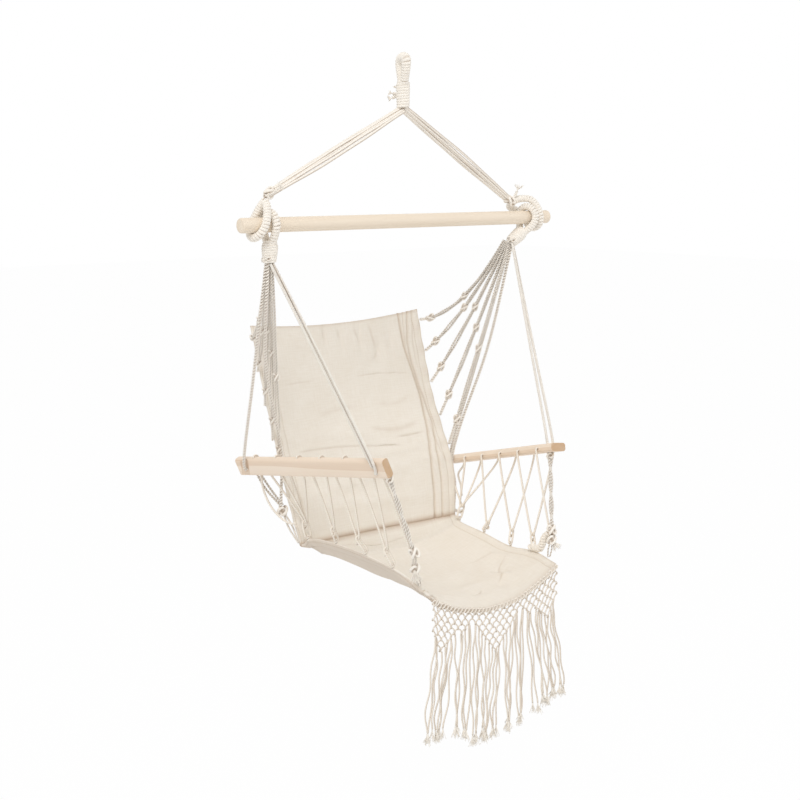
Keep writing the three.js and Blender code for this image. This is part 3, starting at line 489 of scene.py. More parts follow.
# %% Cotton canvas
THREAD = 0.0019  # the real pitch is 0.9 mm; it is drawn at 1.9 mm so that the weave shows
SLUBS = [(34, 380, 1), (380, 34, 1)]  # thick places 29 mm long and 2.6 mm wide, across and down
STITCH_ROWS, ROW_HALF = (0.0035, 0.0185), 0.0007
STITCH_PITCH, STITCH_GAP = 0.0045, 0.33  # 3 mm of thread, then 1.5 mm under the cloth


def woven(name, half_width):
    # Loosely spun warp and weft: fully matt, with the faint sheen of raised fibres
    material, add, surface = new_material(name, Roughness=0.95, Sheen_Weight=0.1, Specular_IOR_Level=0.15)
    uv = add("UVMap", uv_map="UVMap")
    across, down = add("SeparateXYZ", [uv]).outputs[:2]
    warp, weft = (
        add("Math", [add("Math", [way, 2 * np.pi / THREAD], operation="MULTIPLY")], operation="SINE")
        for way in (across, down)
    )
    weave = add("Math", [warp, weft], operation="MULTIPLY")
    raised = add("Math", [weave, 1.0], operation="ADD")
    slubs = [
        add("TexNoise", {"Vector": add("Mapping", {"Vector": uv, "Scale": size}), "Scale": 1, "Detail": 2})
        for size in SLUBS
    ]
    cross = add("Math", [add("Math", slubs, operation="ADD"), 0.5], operation="MULTIPLY")
    # Thick and thin yarns: the middle third of the noise, stretched to full contrast
    middle = add("Math", [cross, 0.36], operation="SUBTRACT")
    yarns = add("Math", [middle, 3.4], operation="MULTIPLY", use_clamp=True)
    clouds = add("TexNoise", {"Vector": uv, "Scale": 14, "Detail": 3})
    crevice = add("Attribute", attribute_name="crevice").outputs["Fac"]
    from_edge = add("Math", [half_width, add("Math", [across], operation="ABSOLUTE")], operation="SUBTRACT")
    rows = 0.0
    for inset in STITCH_ROWS:
        off = add("Math", [add("Math", [from_edge, inset], operation="SUBTRACT")], operation="ABSOLUTE")
        near = add("Math", [off, ROW_HALF], operation="LESS_THAN")
        rows = add("Math", [rows, near], operation="ADD", use_clamp=True)
    repeat = add("Math", [add("Math", [down, 1 / STITCH_PITCH], operation="MULTIPLY")], operation="FRACT")
    thread = add("Math", [repeat, STITCH_GAP], operation="GREATER_THAN")
    stitch = add("Math", [rows, thread], operation="MULTIPLY")
    # The last layer is painted shade: in the creases and gathers, at the edges and over the seat's underside.
    layers = [
        (yarns, 0.22, "#D9CBB5"), (raised, 0.06, "#CDBB9F"), (rows, 0.45, "#B79A73"),
        (stitch, 0.6, "#F4EDE1"), (crevice, 0.8, "#A98560"),
    ]
    threads = add("Math", [weave, 0.25, cross], operation="MULTIPLY_ADD")
    height = add("Math", [rows, -1.2, threads], operation="MULTIPLY_ADD")
    dressed_in(add, surface, clouds, ("#F8F3EB", "#F2EBE0"), layers, height, 0.6, 0.0007)
    return material


half_width = 0.225
canvas = woven("cotton_canvas", half_width)
print("canvas finish:", canvas.name)

# %% [markdown]
# ### Wood
# The bar is beech, turned round and sanded: pale and yellowish, with short fine flecks. The armrests are pine,
# planed and sanded: warmer, with growth rings a few millimetres apart that run out as long streaks on the
# faces and as arcs on the ends. A solid pattern does both at once, if it knows the piece's own directions, so
# each wooden piece keeps its drawing coordinates in an attribute called grain.

# %% Wood


def wood(name, pale, dark, ring_mm, pith, contrast, fleck):
    # Sanded bare wood: a soft broad gloss from the cut fibres, no lacquer
    material, add, surface = new_material(name, Roughness=0.62, Specular_IOR_Level=0.35)
    grain = add("Attribute", attribute_name="grain").outputs["Vector"]
    moved = add("Mapping", {"Vector": grain, "Location": pith, "Scale": (1, 1, 0.055)})
    waver = add("TexNoise", {"Vector": moved, "Scale": 22, "Detail": 2}).outputs["Color"]
    bent = add("Mix", {"Factor": 0.014, "A": moved, "B": waver}, data_type="VECTOR")
    rings = add("TexWave", {
        "Vector": bent, "Scale": 1000 / ring_mm / 20, "Distortion": 0.6, "Detail": 2,
    }, wave_type="RINGS", rings_direction="Z", wave_profile="SAW").outputs["Fac"]
    # Fibre streaks are about 1 mm wide and some 70 mm long, and the broad bands are 17 mm wide
    streaks, bands = (
        add("TexNoise", {
            "Vector": add("Mapping", {"Vector": grain, "Scale": size}), "Scale": 1, "Detail": detail,
        })
        for size, detail in (((900, 900, 14), 3), ((60, 60, 5), 2))
    )
    # Painted shade in the scooped hollow at the rear hole, read from an attribute
    hollow_shade = add("Attribute", attribute_name="crevice").outputs["Fac"]
    layers = [(rings, contrast, "#C79A6B"), (streaks, fleck, "#B98F62"), (hollow_shade, 1.0, "#B58655")]
    dressed_in(add, surface, bands, (pale, dark), layers, streaks, 0.25, 0.0003)
    return material


pine_pith = (0.012, 0.045, 0)
bar_beech = wood("beech_turned", "#F6ECDD", "#EFE2CE", 2.5, (0.004, 0.03, 0), 0.10, 0.14)
arm_pine = wood("pine_planed", "#FAEEE0", "#F3E2CE", 3.4, pine_pith, 0.26, 0.14)
# Sawn ends show the fibres' open mouths: darker, with the year rings across
end_grain = wood("pine_end_grain", "#D8C0A6", "#C9AA8A", 3.4, pine_pith, 0.30, 0.30)
print("wood finishes:", bar_beech.name, arm_pine.name, end_grain.name)

# %% [markdown]
# ## Plan of the chair
# The cords, knots and wood share a few places: the two ends of the bar, the necks where a side's cords begin,
# and each armrest's own directions. They are worked out once here from the drawing's numbers.

# %% Places on the bar and the hanger
bar_drop, bar_offset, bar_length, bar_radius = 0.308, 0.011, 0.800, 0.014
lower_rope, upper_rope, running_gap = 0.0144, 0.0126, 0.001
lower_ring = bar_radius + running_gap + lower_rope / 2
upper_ring = bar_radius + running_gap + upper_rope / 2
right_end, left_end = bar_offset - bar_length / 2, bar_offset + bar_length / 2


def mirrored(half):
    half = np.array(half, float)
    return np.vstack([half, half[1:-1][::-1] * (1, -1, 1)])


eyes = {
    "right_lower_eye": (lower_rope, lower_ring, right_end + 0.065, mirrored(
        [[0, 0, 1], [0, 0.71, 0.71], [0, 1, 0], [0, 0.78, -0.68], [0, 0.45, -1.24], [0, 0, -1.66]])),
    "left_lower_eye": (lower_rope, lower_ring, left_end - 0.061, np.array(
        [[0.02, 0, 1], [0.12, -0.71, 0.71], [0.16, -1, 0], [-0.04, -0.8, -0.68], [-0.45, -0.42, -1.22],
         [-0.86, 0, -1.54], [-0.5, 0.42, -1.22], [-0.12, 0.8, -0.68], [-0.02, 1, 0], [-0.02, 0.71, 0.71]])),
    "right_upper_eye": (upper_rope, upper_ring, right_end + 0.040, mirrored(
        [[-0.5, 0, -1], [-0.33, 0.71, -0.71], [0, 1, 0], [0.33, 0.8, 0.78], [0.55, 0.47, 1.42],
         [0.66, 0, 1.86]])),
    "left_upper_eye": (upper_rope, upper_ring, left_end - 0.043, np.array(
        [[0.1, 0, -1], [0.1, -0.71, -0.71], [0, -1, 0], [-0.06, -0.74, 0.84], [-0.4, -0.1, 1.66],
         [-1, 0.62, 1.72], [-1.65, 0.62, 1.62], [-2.15, 0.5, 1.42], [-1.72, 1.36, 1.02], [-1, 1.7, 0.78],
         [-0.36, 1.5, 0.52], [0, 1, 0], [0.1, 0.74, -0.73]])),
}


def beside_eye(name, share):
    _, ring, at, _ = eyes[name]
    return np.asarray(share, float) * ring + (at, 0, -bar_drop)


SIDES = {"right": 1, "left": -1}
neck_tops = {
    "right": (beside_eye("right_lower_eye", (0, 0, -1.946)), unit((-0.02, 0.06, -1))),
    "left": (beside_eye("left_lower_eye", (-1.0946, -0.009, -1.6532)), unit((-0.8, 0.12, -0.6))),
}
neck_length, seat_gap = 0.026, 0.00035


def spring(side, inner, back, diameter, aim):
    """Where a cord starts under a neck, when it heads for a point."""
    top, ahead = neck_tops[side]
    foot = top + ahead * neck_length
    inward = unit(np.array([1.0, 0, 0]) - ahead[0] * ahead) * SIDES[side]
    backward = np.cross(ahead, inward)
    backward = backward if backward[1] > 0 else -backward
    start = foot + inward * inner + backward * back
    lean = np.arccos(np.clip(unit(aim - start) @ ahead, -1, 1))
    return start + ahead * (seat_gap + diameter / 2 * np.sin(lean))


print("necks end at", [np.round(top + ahead * neck_length, 3).tolist() for top, ahead in neck_tops.values()])

# %% Places on the armrests
arm_length, arm_width, arm_thick = 0.400, 0.038, 0.018
first_hole, hole_pitch, hole_count = 0.0435, 0.0615, 6
hang_inset, hang_spread, rear_inset, rear_shift = 0.025, 0.015, 0.022, 0.004
rear_hole = arm_length - rear_inset
net_bore, hang_bore, rear_bore, cut_over = 0.0024, 0.00345, 0.0031, 0.006


class Armrest:
    def __init__(self, front, toe_in, rise, roll, inner):
        toe, rise, roll = np.radians((toe_in, rise, roll))
        self.front, self.inner = mm(front), inner
        self.back = np.array([-inner * np.sin(toe) * np.cos(rise), np.cos(toe) * np.cos(rise), -np.sin(rise)])
        level = unit(np.cross(self.back, UP)) * inner
        upright = np.cross(level, self.back)
        upright = upright if upright[2] > 0 else -upright
        self.across = level * np.cos(roll) + upright * np.sin(roll)
        self.up = upright * np.cos(roll) - level * np.sin(roll)
        self.upright = upright

    def at(self, back, across, up):
        return self.front + self.back * back + self.across * across + self.up * up


arms = {
    "right": Armrest((-228.9, -225.5, -743), 8.3, 7.3, 112, 1),
    "left": Armrest((225.8, -221.2, -762.6), 5.2, 13.6, 6.4, -1),
}
for side, arm in arms.items():
    print(side, "armrest from", np.round(arm.front, 3), "to", np.round(arm.at(arm_length, 0, 0), 3))

# %% [markdown]
# ## Hanging loop
# A teardrop of rope, served all round with thin cord, then the neck where the two bundles come together. On
# the real one the serving is wound by hand, so its turns lie close and slightly uneven. Here a thin tube winds
# round a core painted brown, which shows between the turns as painted shade.

# %% Loop, neck and side knot
loop_turn = np.radians(-25)
turned = np.eye(3)
turned[:2, :2] = [[np.cos(loop_turn), -np.sin(loop_turn)], [np.sin(loop_turn), np.cos(loop_turn)]]
loop_top, loop_foot, loop_half = 0.010, -0.0415, 0.024
side_shares = np.array([[0.62, 0.8], [0.95, 0.42], [1, 0.08], [0.84, -0.32], [0.56, -0.66], [0.33, -0.9]])
loop_heights = np.where(side_shares[:, 1] > 0, side_shares[:, 1] * loop_top, -side_shares[:, 1] * loop_foot)
loop_right = np.stack([np.zeros(6), side_shares[:, 0] * loop_half, loop_heights], -1)
loop_route = np.vstack([[0, 0, loop_top], loop_right, [0, 0, loop_foot], loop_right[::-1] * (1, -1, 1)])
loop_line = smooth(loop_route, 0.0015, True)
loop_share = np.clip((loop_top - loop_line[:, 2]) / (loop_top - loop_foot), 0, 1)
loop_thick, foot_thick, serving = 0.0195, 0.0170, 0.0052
loop_radius = (loop_thick + (foot_thick - loop_thick) * loop_share) / 2
piece(
    "served_hanging_loop", served(loop_line @ turned.T, loop_radius, serving, True, shade=0.34), served_cotton,
    "hanger", ["hanging_loop"])

neck_line = np.linspace((0, 0, -0.0345), (0, 0, -0.0865), 26)
neck_radius = 0.0001 * np.interp(np.linspace(0, 1, 26), [0, 0.12, 0.4, 0.75, 1], [105, 136, 140, 136, 128])
neck_parts = served(neck_line, neck_radius, serving, shade=0.34)
piece("served_loop_neck", neck_parts, served_cotton, "neck", ["loop_neck"])

side_knot_at = turned @ np.array([0, 0.0205, -0.0639])
tails = []
for aim in ((-17, 15, -5), (-16, 14, 7), (-7, 6, 19)):
    way = mm(aim)
    stub = smooth([side_knot_at, side_knot_at + way * 0.35 + UP * 0.0015, side_knot_at + way * 0.72], 0.002)
    tails += rope(stub, 0.0068, 3, 0.012)
    tails += fray(stub[-1], way, 0.008, 0.85, 26, 0.0009, 0.8)
piece(
    "side_knot_with_tails", knot(side_knot_at - UP * 0.003, UP, 0.0145, 0.018) + tails, laid_cotton,
    "neck", ["loop_knot"])

# %% [markdown]
# ## Bundles, knots and eyes at the bar
# Five cords run side by side from the neck to each end of the bar, fanned a little in the middle. Each ends in
# a knot that closes a served eye, and the bar's end lies in that eye. A second eye at each end hangs over the
# bar and carries the chair.

# %% Bundles and upper knots
bundle_cord, neck_foot = 0.0046, -0.08535
bundle_top = np.array([0, 0, neck_foot - seat_gap - bundle_cord * 1.25])
upper_knots = {
    "right": (beside_eye("right_upper_eye", (0.704, -0.141, 2.521)), mm([[7, -14, 3], [24, -17, 18]])),
    "left": (beside_eye("left_upper_eye", (-2.803, 0.399, 1.602)), mm([[16, 0, 14], [24, 0, 30]])),
}
for side, (middle, tail) in upper_knots.items():
    lean = -SIDES[side]
    start = bundle_top + (lean * bundle_cord, 0, 0)
    ahead = unit(middle - bundle_top)
    end = middle - ahead * 0.006
    strands = []
    stack = unit((0, 0.75, -lean * 0.66))
    for k in range(5):
        place = (k - 2) * bundle_cord * 1.04
        # Spread at the start, middle and end; the lowest cord hangs out a little further
        fan = np.array([[0.72], [1.2 if k == 0 else 1.0], [0.62]])
        offsets = place * stack * fan + unit(np.cross(stack, ahead)) * (0.0012 if k % 2 else -0.0008) * fan
        points = start + (end - start) * np.array([[0.0], [0.55], [1.0]]) + offsets
        points[0] -= ahead * 0.004
        line = smooth(points, 0.004)
        line = line + 0.0004 * np.sin(distances(line)[:, None] * 45 + k * 2) * UP
        # Painted shade on the two sides where each cord lies against its neighbours
        turn = np.linspace(0, 2 * np.pi, 12, endpoint=False)
        beside = np.broadcast_to(np.clip((np.abs(np.cos(turn)) - 0.5) / 0.5, 0, 1) * 0.72, (len(line), 12))
        strands.append(tube(line, bundle_cord * 0.56, 12, hint=stack, crevice=beside, tone=0.3 + 0.3 * (k % 2)))
    piece(side + "_bundle_cords", strands, laid_cotton, "suspension", [side + "_upper_bundle"])
    way = tail[1] - tail[0]
    stub = smooth(np.array([middle, middle + tail[0] * 0.9, middle + tail[0] + way * 0.45]), 0.002)
    shift = ahead * (-0.011 if side == "right" else -0.003)
    knots = knot(middle + shift, ahead, 0.0215, 0.024, tone=0.75) + rope(stub, 0.0062, 3, 0.012)
    knots += fray(stub[-1], way, 0.014, 0.8, 34, 0.0009, 0.75)
    piece(side + "_bundle_knot", knots, laid_cotton, "suspension", [side + "_upper_knot"])

# %% Served eyes and lower necks
for name, (thick, ring, at, shares) in eyes.items():
    fuller, body = (0.0016, "suspension") if "upper" in name else (0.0007, "seat")
    line = smooth(shares * (ring + fuller) + (at, 0, -bar_drop), 0.0015, True)
    wound = served(line, thick / 2 + fuller, 0.0056, True, shade=0.9)
    piece("served_" + name, wound, served_cotton, body, [name])

for side, (top, ahead) in neck_tops.items():
    line = np.linspace(top - ahead * 0.015, top + ahead * neck_length, 34)
    radius = 0.0001 * np.interp(np.linspace(0, 1, 34), [0, 0.25, 0.5, 0.8, 1], [118, 155, 154, 142, 130])
    nub = top + ahead * neck_length * 0.72 - unit((0.64, 0.76, 0)) * 0.0135
    wound = served(line, radius, 0.0048, shade=0.4) + knot(nub, (0.3, -0.2, 1), 0.010, 0.009, 30, 6, tone=0.7)
    wound += fray(nub - unit((0.762, -0.647, 0)) * 0.007, (-0.76, 0.4, -0.2), 0.007, 0.9, 18, 0.0009, 0.8)
    piece("served_" + side + "_neck", wound, served_cotton, "seat", [side + "_lower_neck"])

# %% [markdown]
# ## Cords down to the armrests
# Two cords on each side pass through the front holes of the armrest to a knot under it, and one through the
# rear hole. The armrest can roll in these cords, so the last 60 mm of each cord above the armrest are listed
# as the span between the seat's body and the armrest's.

# %% Front and rear cords
hang_cord, stay_cord = 0.0055, 0.005
blends = []


def bend_to_arm(made, side, near, far):
    """Adds the cord to the list of those that cross the armrest's joint, with the two bodies and the far and
    near points.
    """
    blends.append((made, "seat", side + "_arm", far, near))


# Where a cord lies on the armrest: behind its hole, across, and above the face
face_routes = {
    ("right", "inner"): mm([[-6, 17, 3.1], [-5, 2, 3], [-1, -6.2, 1.6]]),
    ("right", "outer"): mm([[0, 17, 3.1], [0, 8.7, 2.2]]),
    ("right", "rear"): mm([[-9, 17, 2.9], [-2.5, 3, 1.6], [0, -3, -0.2]]),
    ("left", "inner"): mm([[0, 7.5, 1.8]]),
    ("left", "outer"): mm([[0, -7.5, 1.8]]),
    ("left", "rear"): mm([[0, -4, 1.7]]),
}
springs = {"inner": (0.0031, -0.0085), "outer": (-0.0031, -0.0085), "rear": (-0.0052, 0.0028)}
bows = {("right", "inner"): mm([1.7, -1.7, 0])}
hangers = {}
for (side, name), face_route in face_routes.items():
    arm, rear = arms[side], name == "rear"
    hole, cord, share = (rear_hole, stay_cord, 0.55) if rear else (hang_inset, hang_cord, 0.5)
    route = np.array([arm.at(hole + back, over, arm_thick / 2 + up) for back, over, up in face_route])
    start = spring(side, *springs[name], cord, route[0])
    middle = start + (route[0] - start) * share + bows.get((side, name), 0)
    beside = -rear_shift if rear else np.sign(face_route[-1][1]) * hang_spread / 2
    outlet = arm.at(hole, beside, -arm_thick / 2 - (stay_cord * 0.5 if rear else 0))
    hangers[side, name] = (smooth([start, middle, *route, outlet], 0.004), start, route[0])


def seam_shade(parts, partner, near=0.0047, soft=0.0009, deep=1.0):
    """Painted shade where a cord lies against its partner."""
    for part in parts:
        apart = np.min(np.linalg.norm(part["points"][:, None] - partner[None], axis=2), axis=1)
        part["crevice"] = np.maximum(part["crevice"], deep * np.clip((near - apart) / soft, 0, 1))
    return parts


for (side, name), (line, start, touch) in hangers.items():
    if name == "rear":
        label, cord = side + "_rear_hanger", side + "_rear_cord"
        strands = rope(line, 0.0070, 2, LAY, 8, tone=0.7)
    else:
        label, cord = f"{side}_front_hanger_{name}", f"{side}_front_cord_{name}"
        partner = spaced(hangers[side, "outer" if name == "inner" else "inner"][0], 0.002)
        strands = seam_shade(rope(line, 0.0060, 3, LAY, 8, tone=1.0, shade=0.06), partner)
    made = piece(label, strands, laid_cotton, None, [cord])
    bend_to_arm(made, side, touch, touch + unit(start - touch) * 0.06)

# %% Stays to the rear corners
stays = {
    "right": mm([[-296, 58, -576], [-236, 95, -769], [-236, 99, -846], [-234, 103, -872]]),
    "left": mm([
        [281, 46, -590], [242, 92, -770], [232.5, 104, -833],
        [232.5, 103, -860], [237, 100, -892], [233, 97, -936]]),
}
for side, route in stays.items():
    start = spring(side, -0.0052, -0.003, stay_cord, route[0])
    strands = rope(smooth(np.vstack([start, route]), 0.004), 0.0070, 2, LAY, 8, turn=1.0, tone=0.65)
    piece(side + "_rear_stay_cord", strands, laid_cotton, "seat", [side + "_rear_stay"])

# %% [markdown]
# ## Canvas
# The back and the seat are plain canvas between two edges that the cords hold, so each is a surface drawn
# across from edge to edge: the back bellies out behind the sitter and the seat sags. Folds are added as soft
# ridges along the lines where the cloth is pulled. The side casings are thicker, as a rolled hem round a cord.

# %% Edges and surfaces of the canvas
back_edges = {
    "right": mm([
        [-224, 215, -520], [-222, 188, -610], [-220, 160, -700],
        [-221, 124, -790], [-219, 96, -870], [-211, 70, -953]]),
    "left": mm([
        [224, 215, -514], [222, 188, -605], [220, 158, -695],
        [222, 116, -790], [224, 92, -850], [211, 70, -957]]),
}
seat_edges = {
    "right": mm([
        [-210, 64, -956], [-206, 51, -938], [-200, -34, -930],
        [-195, -119, -935], [-189, -192, -947], [-164, -279, -991]]),
    "left": mm([
        [210, 64, -960], [206, 51, -966], [200, -34, -975],
        [195, -119, -986], [189, -192, -980], [166, -277, -984]]),
}


def between(edges, across, down):
    right, left = (line_at(edges[side], down.ravel()).reshape(*down.shape, 3) for side in ("right", "left"))
    return right + (left - right) * ((across + 1) / 2)[..., None]


for side in ("right", "left"):
    lengths = [round(float(distances(smooth(edges[side], 0.002))[-1]), 3) for edges in (back_edges, seat_edges)]
    print(side, "edges of the back and the seat, m:", lengths)

# %% Folds, mounds and creases


def fold_sum(folds, across, down):
    total = np.zeros_like(across)
    for share, height, width, slope in folds:
        away = (down - share - slope * across) / width
        total += height * 0.001 * np.exp(-away * away) * (1 - across**2)
    return total


back_length, seat_length = 0.466, 0.365


def line_near(across, down, route, wide):
    """How near each place of the cloth is to a route, from 0 to 1, with soft ends."""
    scale = np.array([half_width, back_length])
    ends = np.array(route) * scale
    route = line_at(ends, np.linspace(0, 1, 40))
    nearest = np.full(across.shape, 9.0)
    end_off = np.full(across.shape, 9.0)
    x, y = across * scale[0], down * scale[1]
    for a, b in zip(route[:-1], route[1:]):
        run = b - a
        t = np.clip(((x - a[0]) * run[0] + (y - a[1]) * run[1]) / (run @ run), 0, 1)
        nearest = np.minimum(nearest, np.hypot(x - a[0] - t * run[0], y - a[1] - t * run[1]))
    for end in (route[0], route[-1]):
        if 0.005 < end[1] / scale[1] < 0.99:
            end_off = np.minimum(end_off, np.hypot(x - end[0], y - end[1]))
    return np.exp(-((nearest / (wide * 0.001)) ** 2)) * np.clip(end_off / 0.02, 0, 1)


def creases(crease_lines, across, down, wider=1.0):
    return sum(deep * line_near(across, down, route, wide * wider) for route, wide, deep in crease_lines)


def mounds(table, across, down, scale):
    """Soft round hollows or bumps, from their places, half widths and heights."""
    total = np.zeros_like(across)
    for a, d, wide, tall, high in table:
        total += high * scale * np.exp(-(((across - a) / wide) ** 2) - ((down - d) / tall) ** 2)
    return total


example = mounds([(0, 0, 1, 1, 2)], np.array([0.0, 1.0]), np.zeros(2), 0.001)
print("a mound, at its top and one half width beside it, m:", example.round(4).tolist())

# %% Surface of the back
# Gathers beside the far casing and the creases of the back, folded into the cloth and painted darker:
# route (across, down), width in mm, and strength, which sets the fold's depth and its painted shade
back_crease_lines = [
    ([(0.763, 0), (0.774, 0.165), (0.82, 0.286), (0.854, 0.404), (0.825, 0.546), (0.758, 0.74),
      (0.737, 0.843), (0.73, 1)], 3.0, 1.1),
    ([(0.876, 0), (0.822, 0.168), (0.848, 0.287), (0.883, 0.406), (0.9, 0.52), (0.85, 0.7),
      (0.83, 1)], 2.6, 0.9),
    ([(0.82, 0), (0.80, 0.1), (0.795, 0.19)], 2.0, 0.5),
    ([(0.93, 0), (0.90, 0.1), (0.885, 0.2), (0.90, 0.3)], 1.8, 0.4),
    ([(0.87, 0.5), (0.89, 0.65), (0.93, 0.8)], 1.6, 0.4),
    ([(-0.86, 0), (-0.85, 0.3), (-0.86, 0.6), (-0.85, 1)], 1.8, 0.5),
    ([(0.15, 0.286), (0.231, 0.283), (0.5, 0.287), (0.76, 0.296)], 1.1, 0.55),
    ([(-0.75, 0.277), (-0.345, 0.282)], 1.4, 0.3),
    ([(-0.77, 0.574), (-0.4, 0.578), (-0.073, 0.588), (0.2, 0.604), (0.47, 0.616)], 1.7, 0.55),
    ([(0.2, 0.603), (0.35, 0.608), (0.47, 0.618)], 1.6, 0.5),
    ([(0.44, 0.572), (0.6, 0.572), (0.79, 0.562)], 1.5, 0.8),
    ([(-0.7, 0.70), (0.0, 0.715)], 3.0, 0.25),
    ([(0.16, 0.52), (0.45, 0.54), (0.76, 0.52)], 4.0, 0.45),
    ([(-0.4, 0.435), (0.1, 0.42)], 4.0, 0.25),
    ([(0.3, 0.42), (0.55, 0.43), (0.75, 0.40)], 4.0, 0.25),
    ([(-0.175, 0.01), (-0.154, 0.11)], 2.4, 0.4),
    ([(0.0, 0.02), (0.02, 0.10)], 2.4, 0.45),
    ([(0.186, 0.02), (0.263, 0.13)], 2.4, 0.45),
    ([(0.381, 0.02), (0.441, 0.166)], 2.6, 0.5),
    ([(0.475, 0.168), (0.383, 0.226)], 4.0, 0.5),
]
# Soft hollows under the top edge, where the last cords pull, and long waves lower down
back_hollows = [
    (0.475, 0.17, 0.05, 0.05, 5.0), (0.40, 0.24, 0.09, 0.05, 3.0), (-0.15, 0.06, 0.03, 0.07, 2.2),
    (0.03, 0.08, 0.03, 0.06, 2.4), (0.26, 0.09, 0.035, 0.06, 2.6), (-0.55, 0.2, 0.2, 0.1, 2.0),
    (0.62, 0.12, 0.05, 0.1, 2.2), (-0.2, 0.42, 0.3, 0.08, 2.2),
]
back_folds = [(0.53, 3, 0.03, 0.02), (0.66, 3, 0.03, -0.04), (0.76, 4, 0.035, -0.05), (0.88, 4, 0.03, 0.03)]


def back_surface(across, down):
    point = between(back_edges, across, down)
    bow = 1 - across**2
    belly = 0.006 + 0.014 * np.sin(np.pi * np.minimum(1, down * 1.05))
    point[..., 1] += bow * belly - fold_sum(back_folds, across, down)
    point[..., 2] -= bow * 0.014 * np.maximum(0, 1 - down * 4)
    gather = np.exp(-(((1 - np.abs(across)) / 0.16) ** 2)) * 0.0010 * np.sin(down * 58 + across * 3)
    point[..., 1] += mounds(back_hollows, across, down, 0.0017)
    waves = 0.0012 * np.sin(across * 7.3 + down * 4) * np.sin(down * 13.7 + across * 2.1)
    point[..., 1] -= gather + waves * bow - 0.0030 * creases(back_crease_lines, across, down)
    return point


middle_line = back_surface(np.zeros((1, 9)), np.linspace(0, 1, 9)[None])
print("the middle of the back runs through, m:", np.round(middle_line[0, ::4], 3).tolist())

# %% Surface of the seat
# Creases of the seat, in the same form: folded into the cloth and painted darker
seat_crease_lines = [
    ([(-0.02, 0.84), (0.12, 0.83), (0.22, 0.80)], 1.6, 1.0),
    ([(0.84, 0.650), (0.698, 0.674), (0.614, 0.748), (0.470, 0.804)], 3.0, 0.6),
    ([(0.60, 0.50), (0.75, 0.52), (0.889, 0.553)], 3.0, 0.35),
    ([(-0.55, 0.05), (-0.1, 0.10), (0.3, 0.08)], 2.5, 0.4),
]
seat_bumps = [
    (0.84, 0.66, 0.06, 0.10, 4.5), (0.66, 0.70, 0.05, 0.05, -4.0), (0.60, 0.78, 0.05, 0.05, 3.5),
    (0.45, 0.82, 0.06, 0.04, -3.0), (0.64, 0.48, 0.10, 0.06, -3.5), (0.30, 0.55, 0.15, 0.06, 3.0),
    (0.20, 0.72, 0.20, 0.05, 3.5), (-0.2, 0.45, 0.2, 0.08, 3.0), (-0.30, 0.75, 0.12, 0.05, -3.5),
    (0.05, 0.88, 0.2, 0.05, 2.5), (0.80, 0.88, 0.12, 0.05, 3.0), (-0.6, 0.3, 0.12, 0.12, 3.0),
]
seat_folds = [(0.22, 4, 0.05, 0.08), (0.55, 4, 0.05, -0.1)]


def seat_surface(across, down):
    point = between(seat_edges, across, down)
    plain = point.copy()
    bow = 1 - across**2
    lift = 0.024 * np.maximum(0, (down - 0.7) / 0.3) ** 2
    point[..., 2] -= bow * (0.073 * np.sin(np.pi / 2 * np.minimum(1, down * 1.9)) ** 0.8 - lift)
    # The near side sags more steeply from its edge, so its underside shows
    steep = np.clip((1 + across) / 0.2, 0, 1) * np.exp(-((np.maximum(0, across + 0.78) / 0.3) ** 2))
    point[..., 2] -= 0.017 * steep * np.interp(down, [0, 0.12, 0.5, 0.85, 1], [0.3, 1, 1, 0.75, 0.1])
    waves = 0.0016 * np.sin(across * 8.1 + down * 5) * np.sin(down * 9.7 + across * 3.3)
    point[..., 2] += mounds(seat_bumps, across, down, 0.0015)
    # Pleats fan out of the near front corner
    ray = np.arctan2(1.02 - down, across + 1.02)
    reach = np.hypot(1.02 - down, (across + 1.02) * 1.2)
    pleats = 0.0036 * np.sin(ray * 19 + 0.5) * np.exp(-((reach / 0.30) ** 2)) * np.clip(reach / 0.06, 0, 1)
    crease_lines = creases(seat_crease_lines, across, down)
    point[..., 2] += fold_sum(seat_folds, across, down) + waves * bow + pleats - 0.0042 * crease_lines
    # Its rear edge meets the foot of the back all the way across
    meet = np.clip(1 - down / 0.10, 0, 1) ** 2
    foot = back_surface(across, np.ones_like(down)) + (0, 0, 0.0004)
    here = between(seat_edges, across, np.zeros_like(down))
    return plain + (point - plain) * (1 - meet[..., None]) + (foot - here) * meet[..., None]


middle_line = seat_surface(np.zeros((1, 9)), np.linspace(0, 1, 9)[None])
print("the middle of the seat runs through, m:", np.round(middle_line[0, ::4], 3).tolist())

# %% Make the cloth with its casings


casing_radius, canvas_half, casing_half, end_taper = 0.0085, 0.0009, 0.0030, 0.004


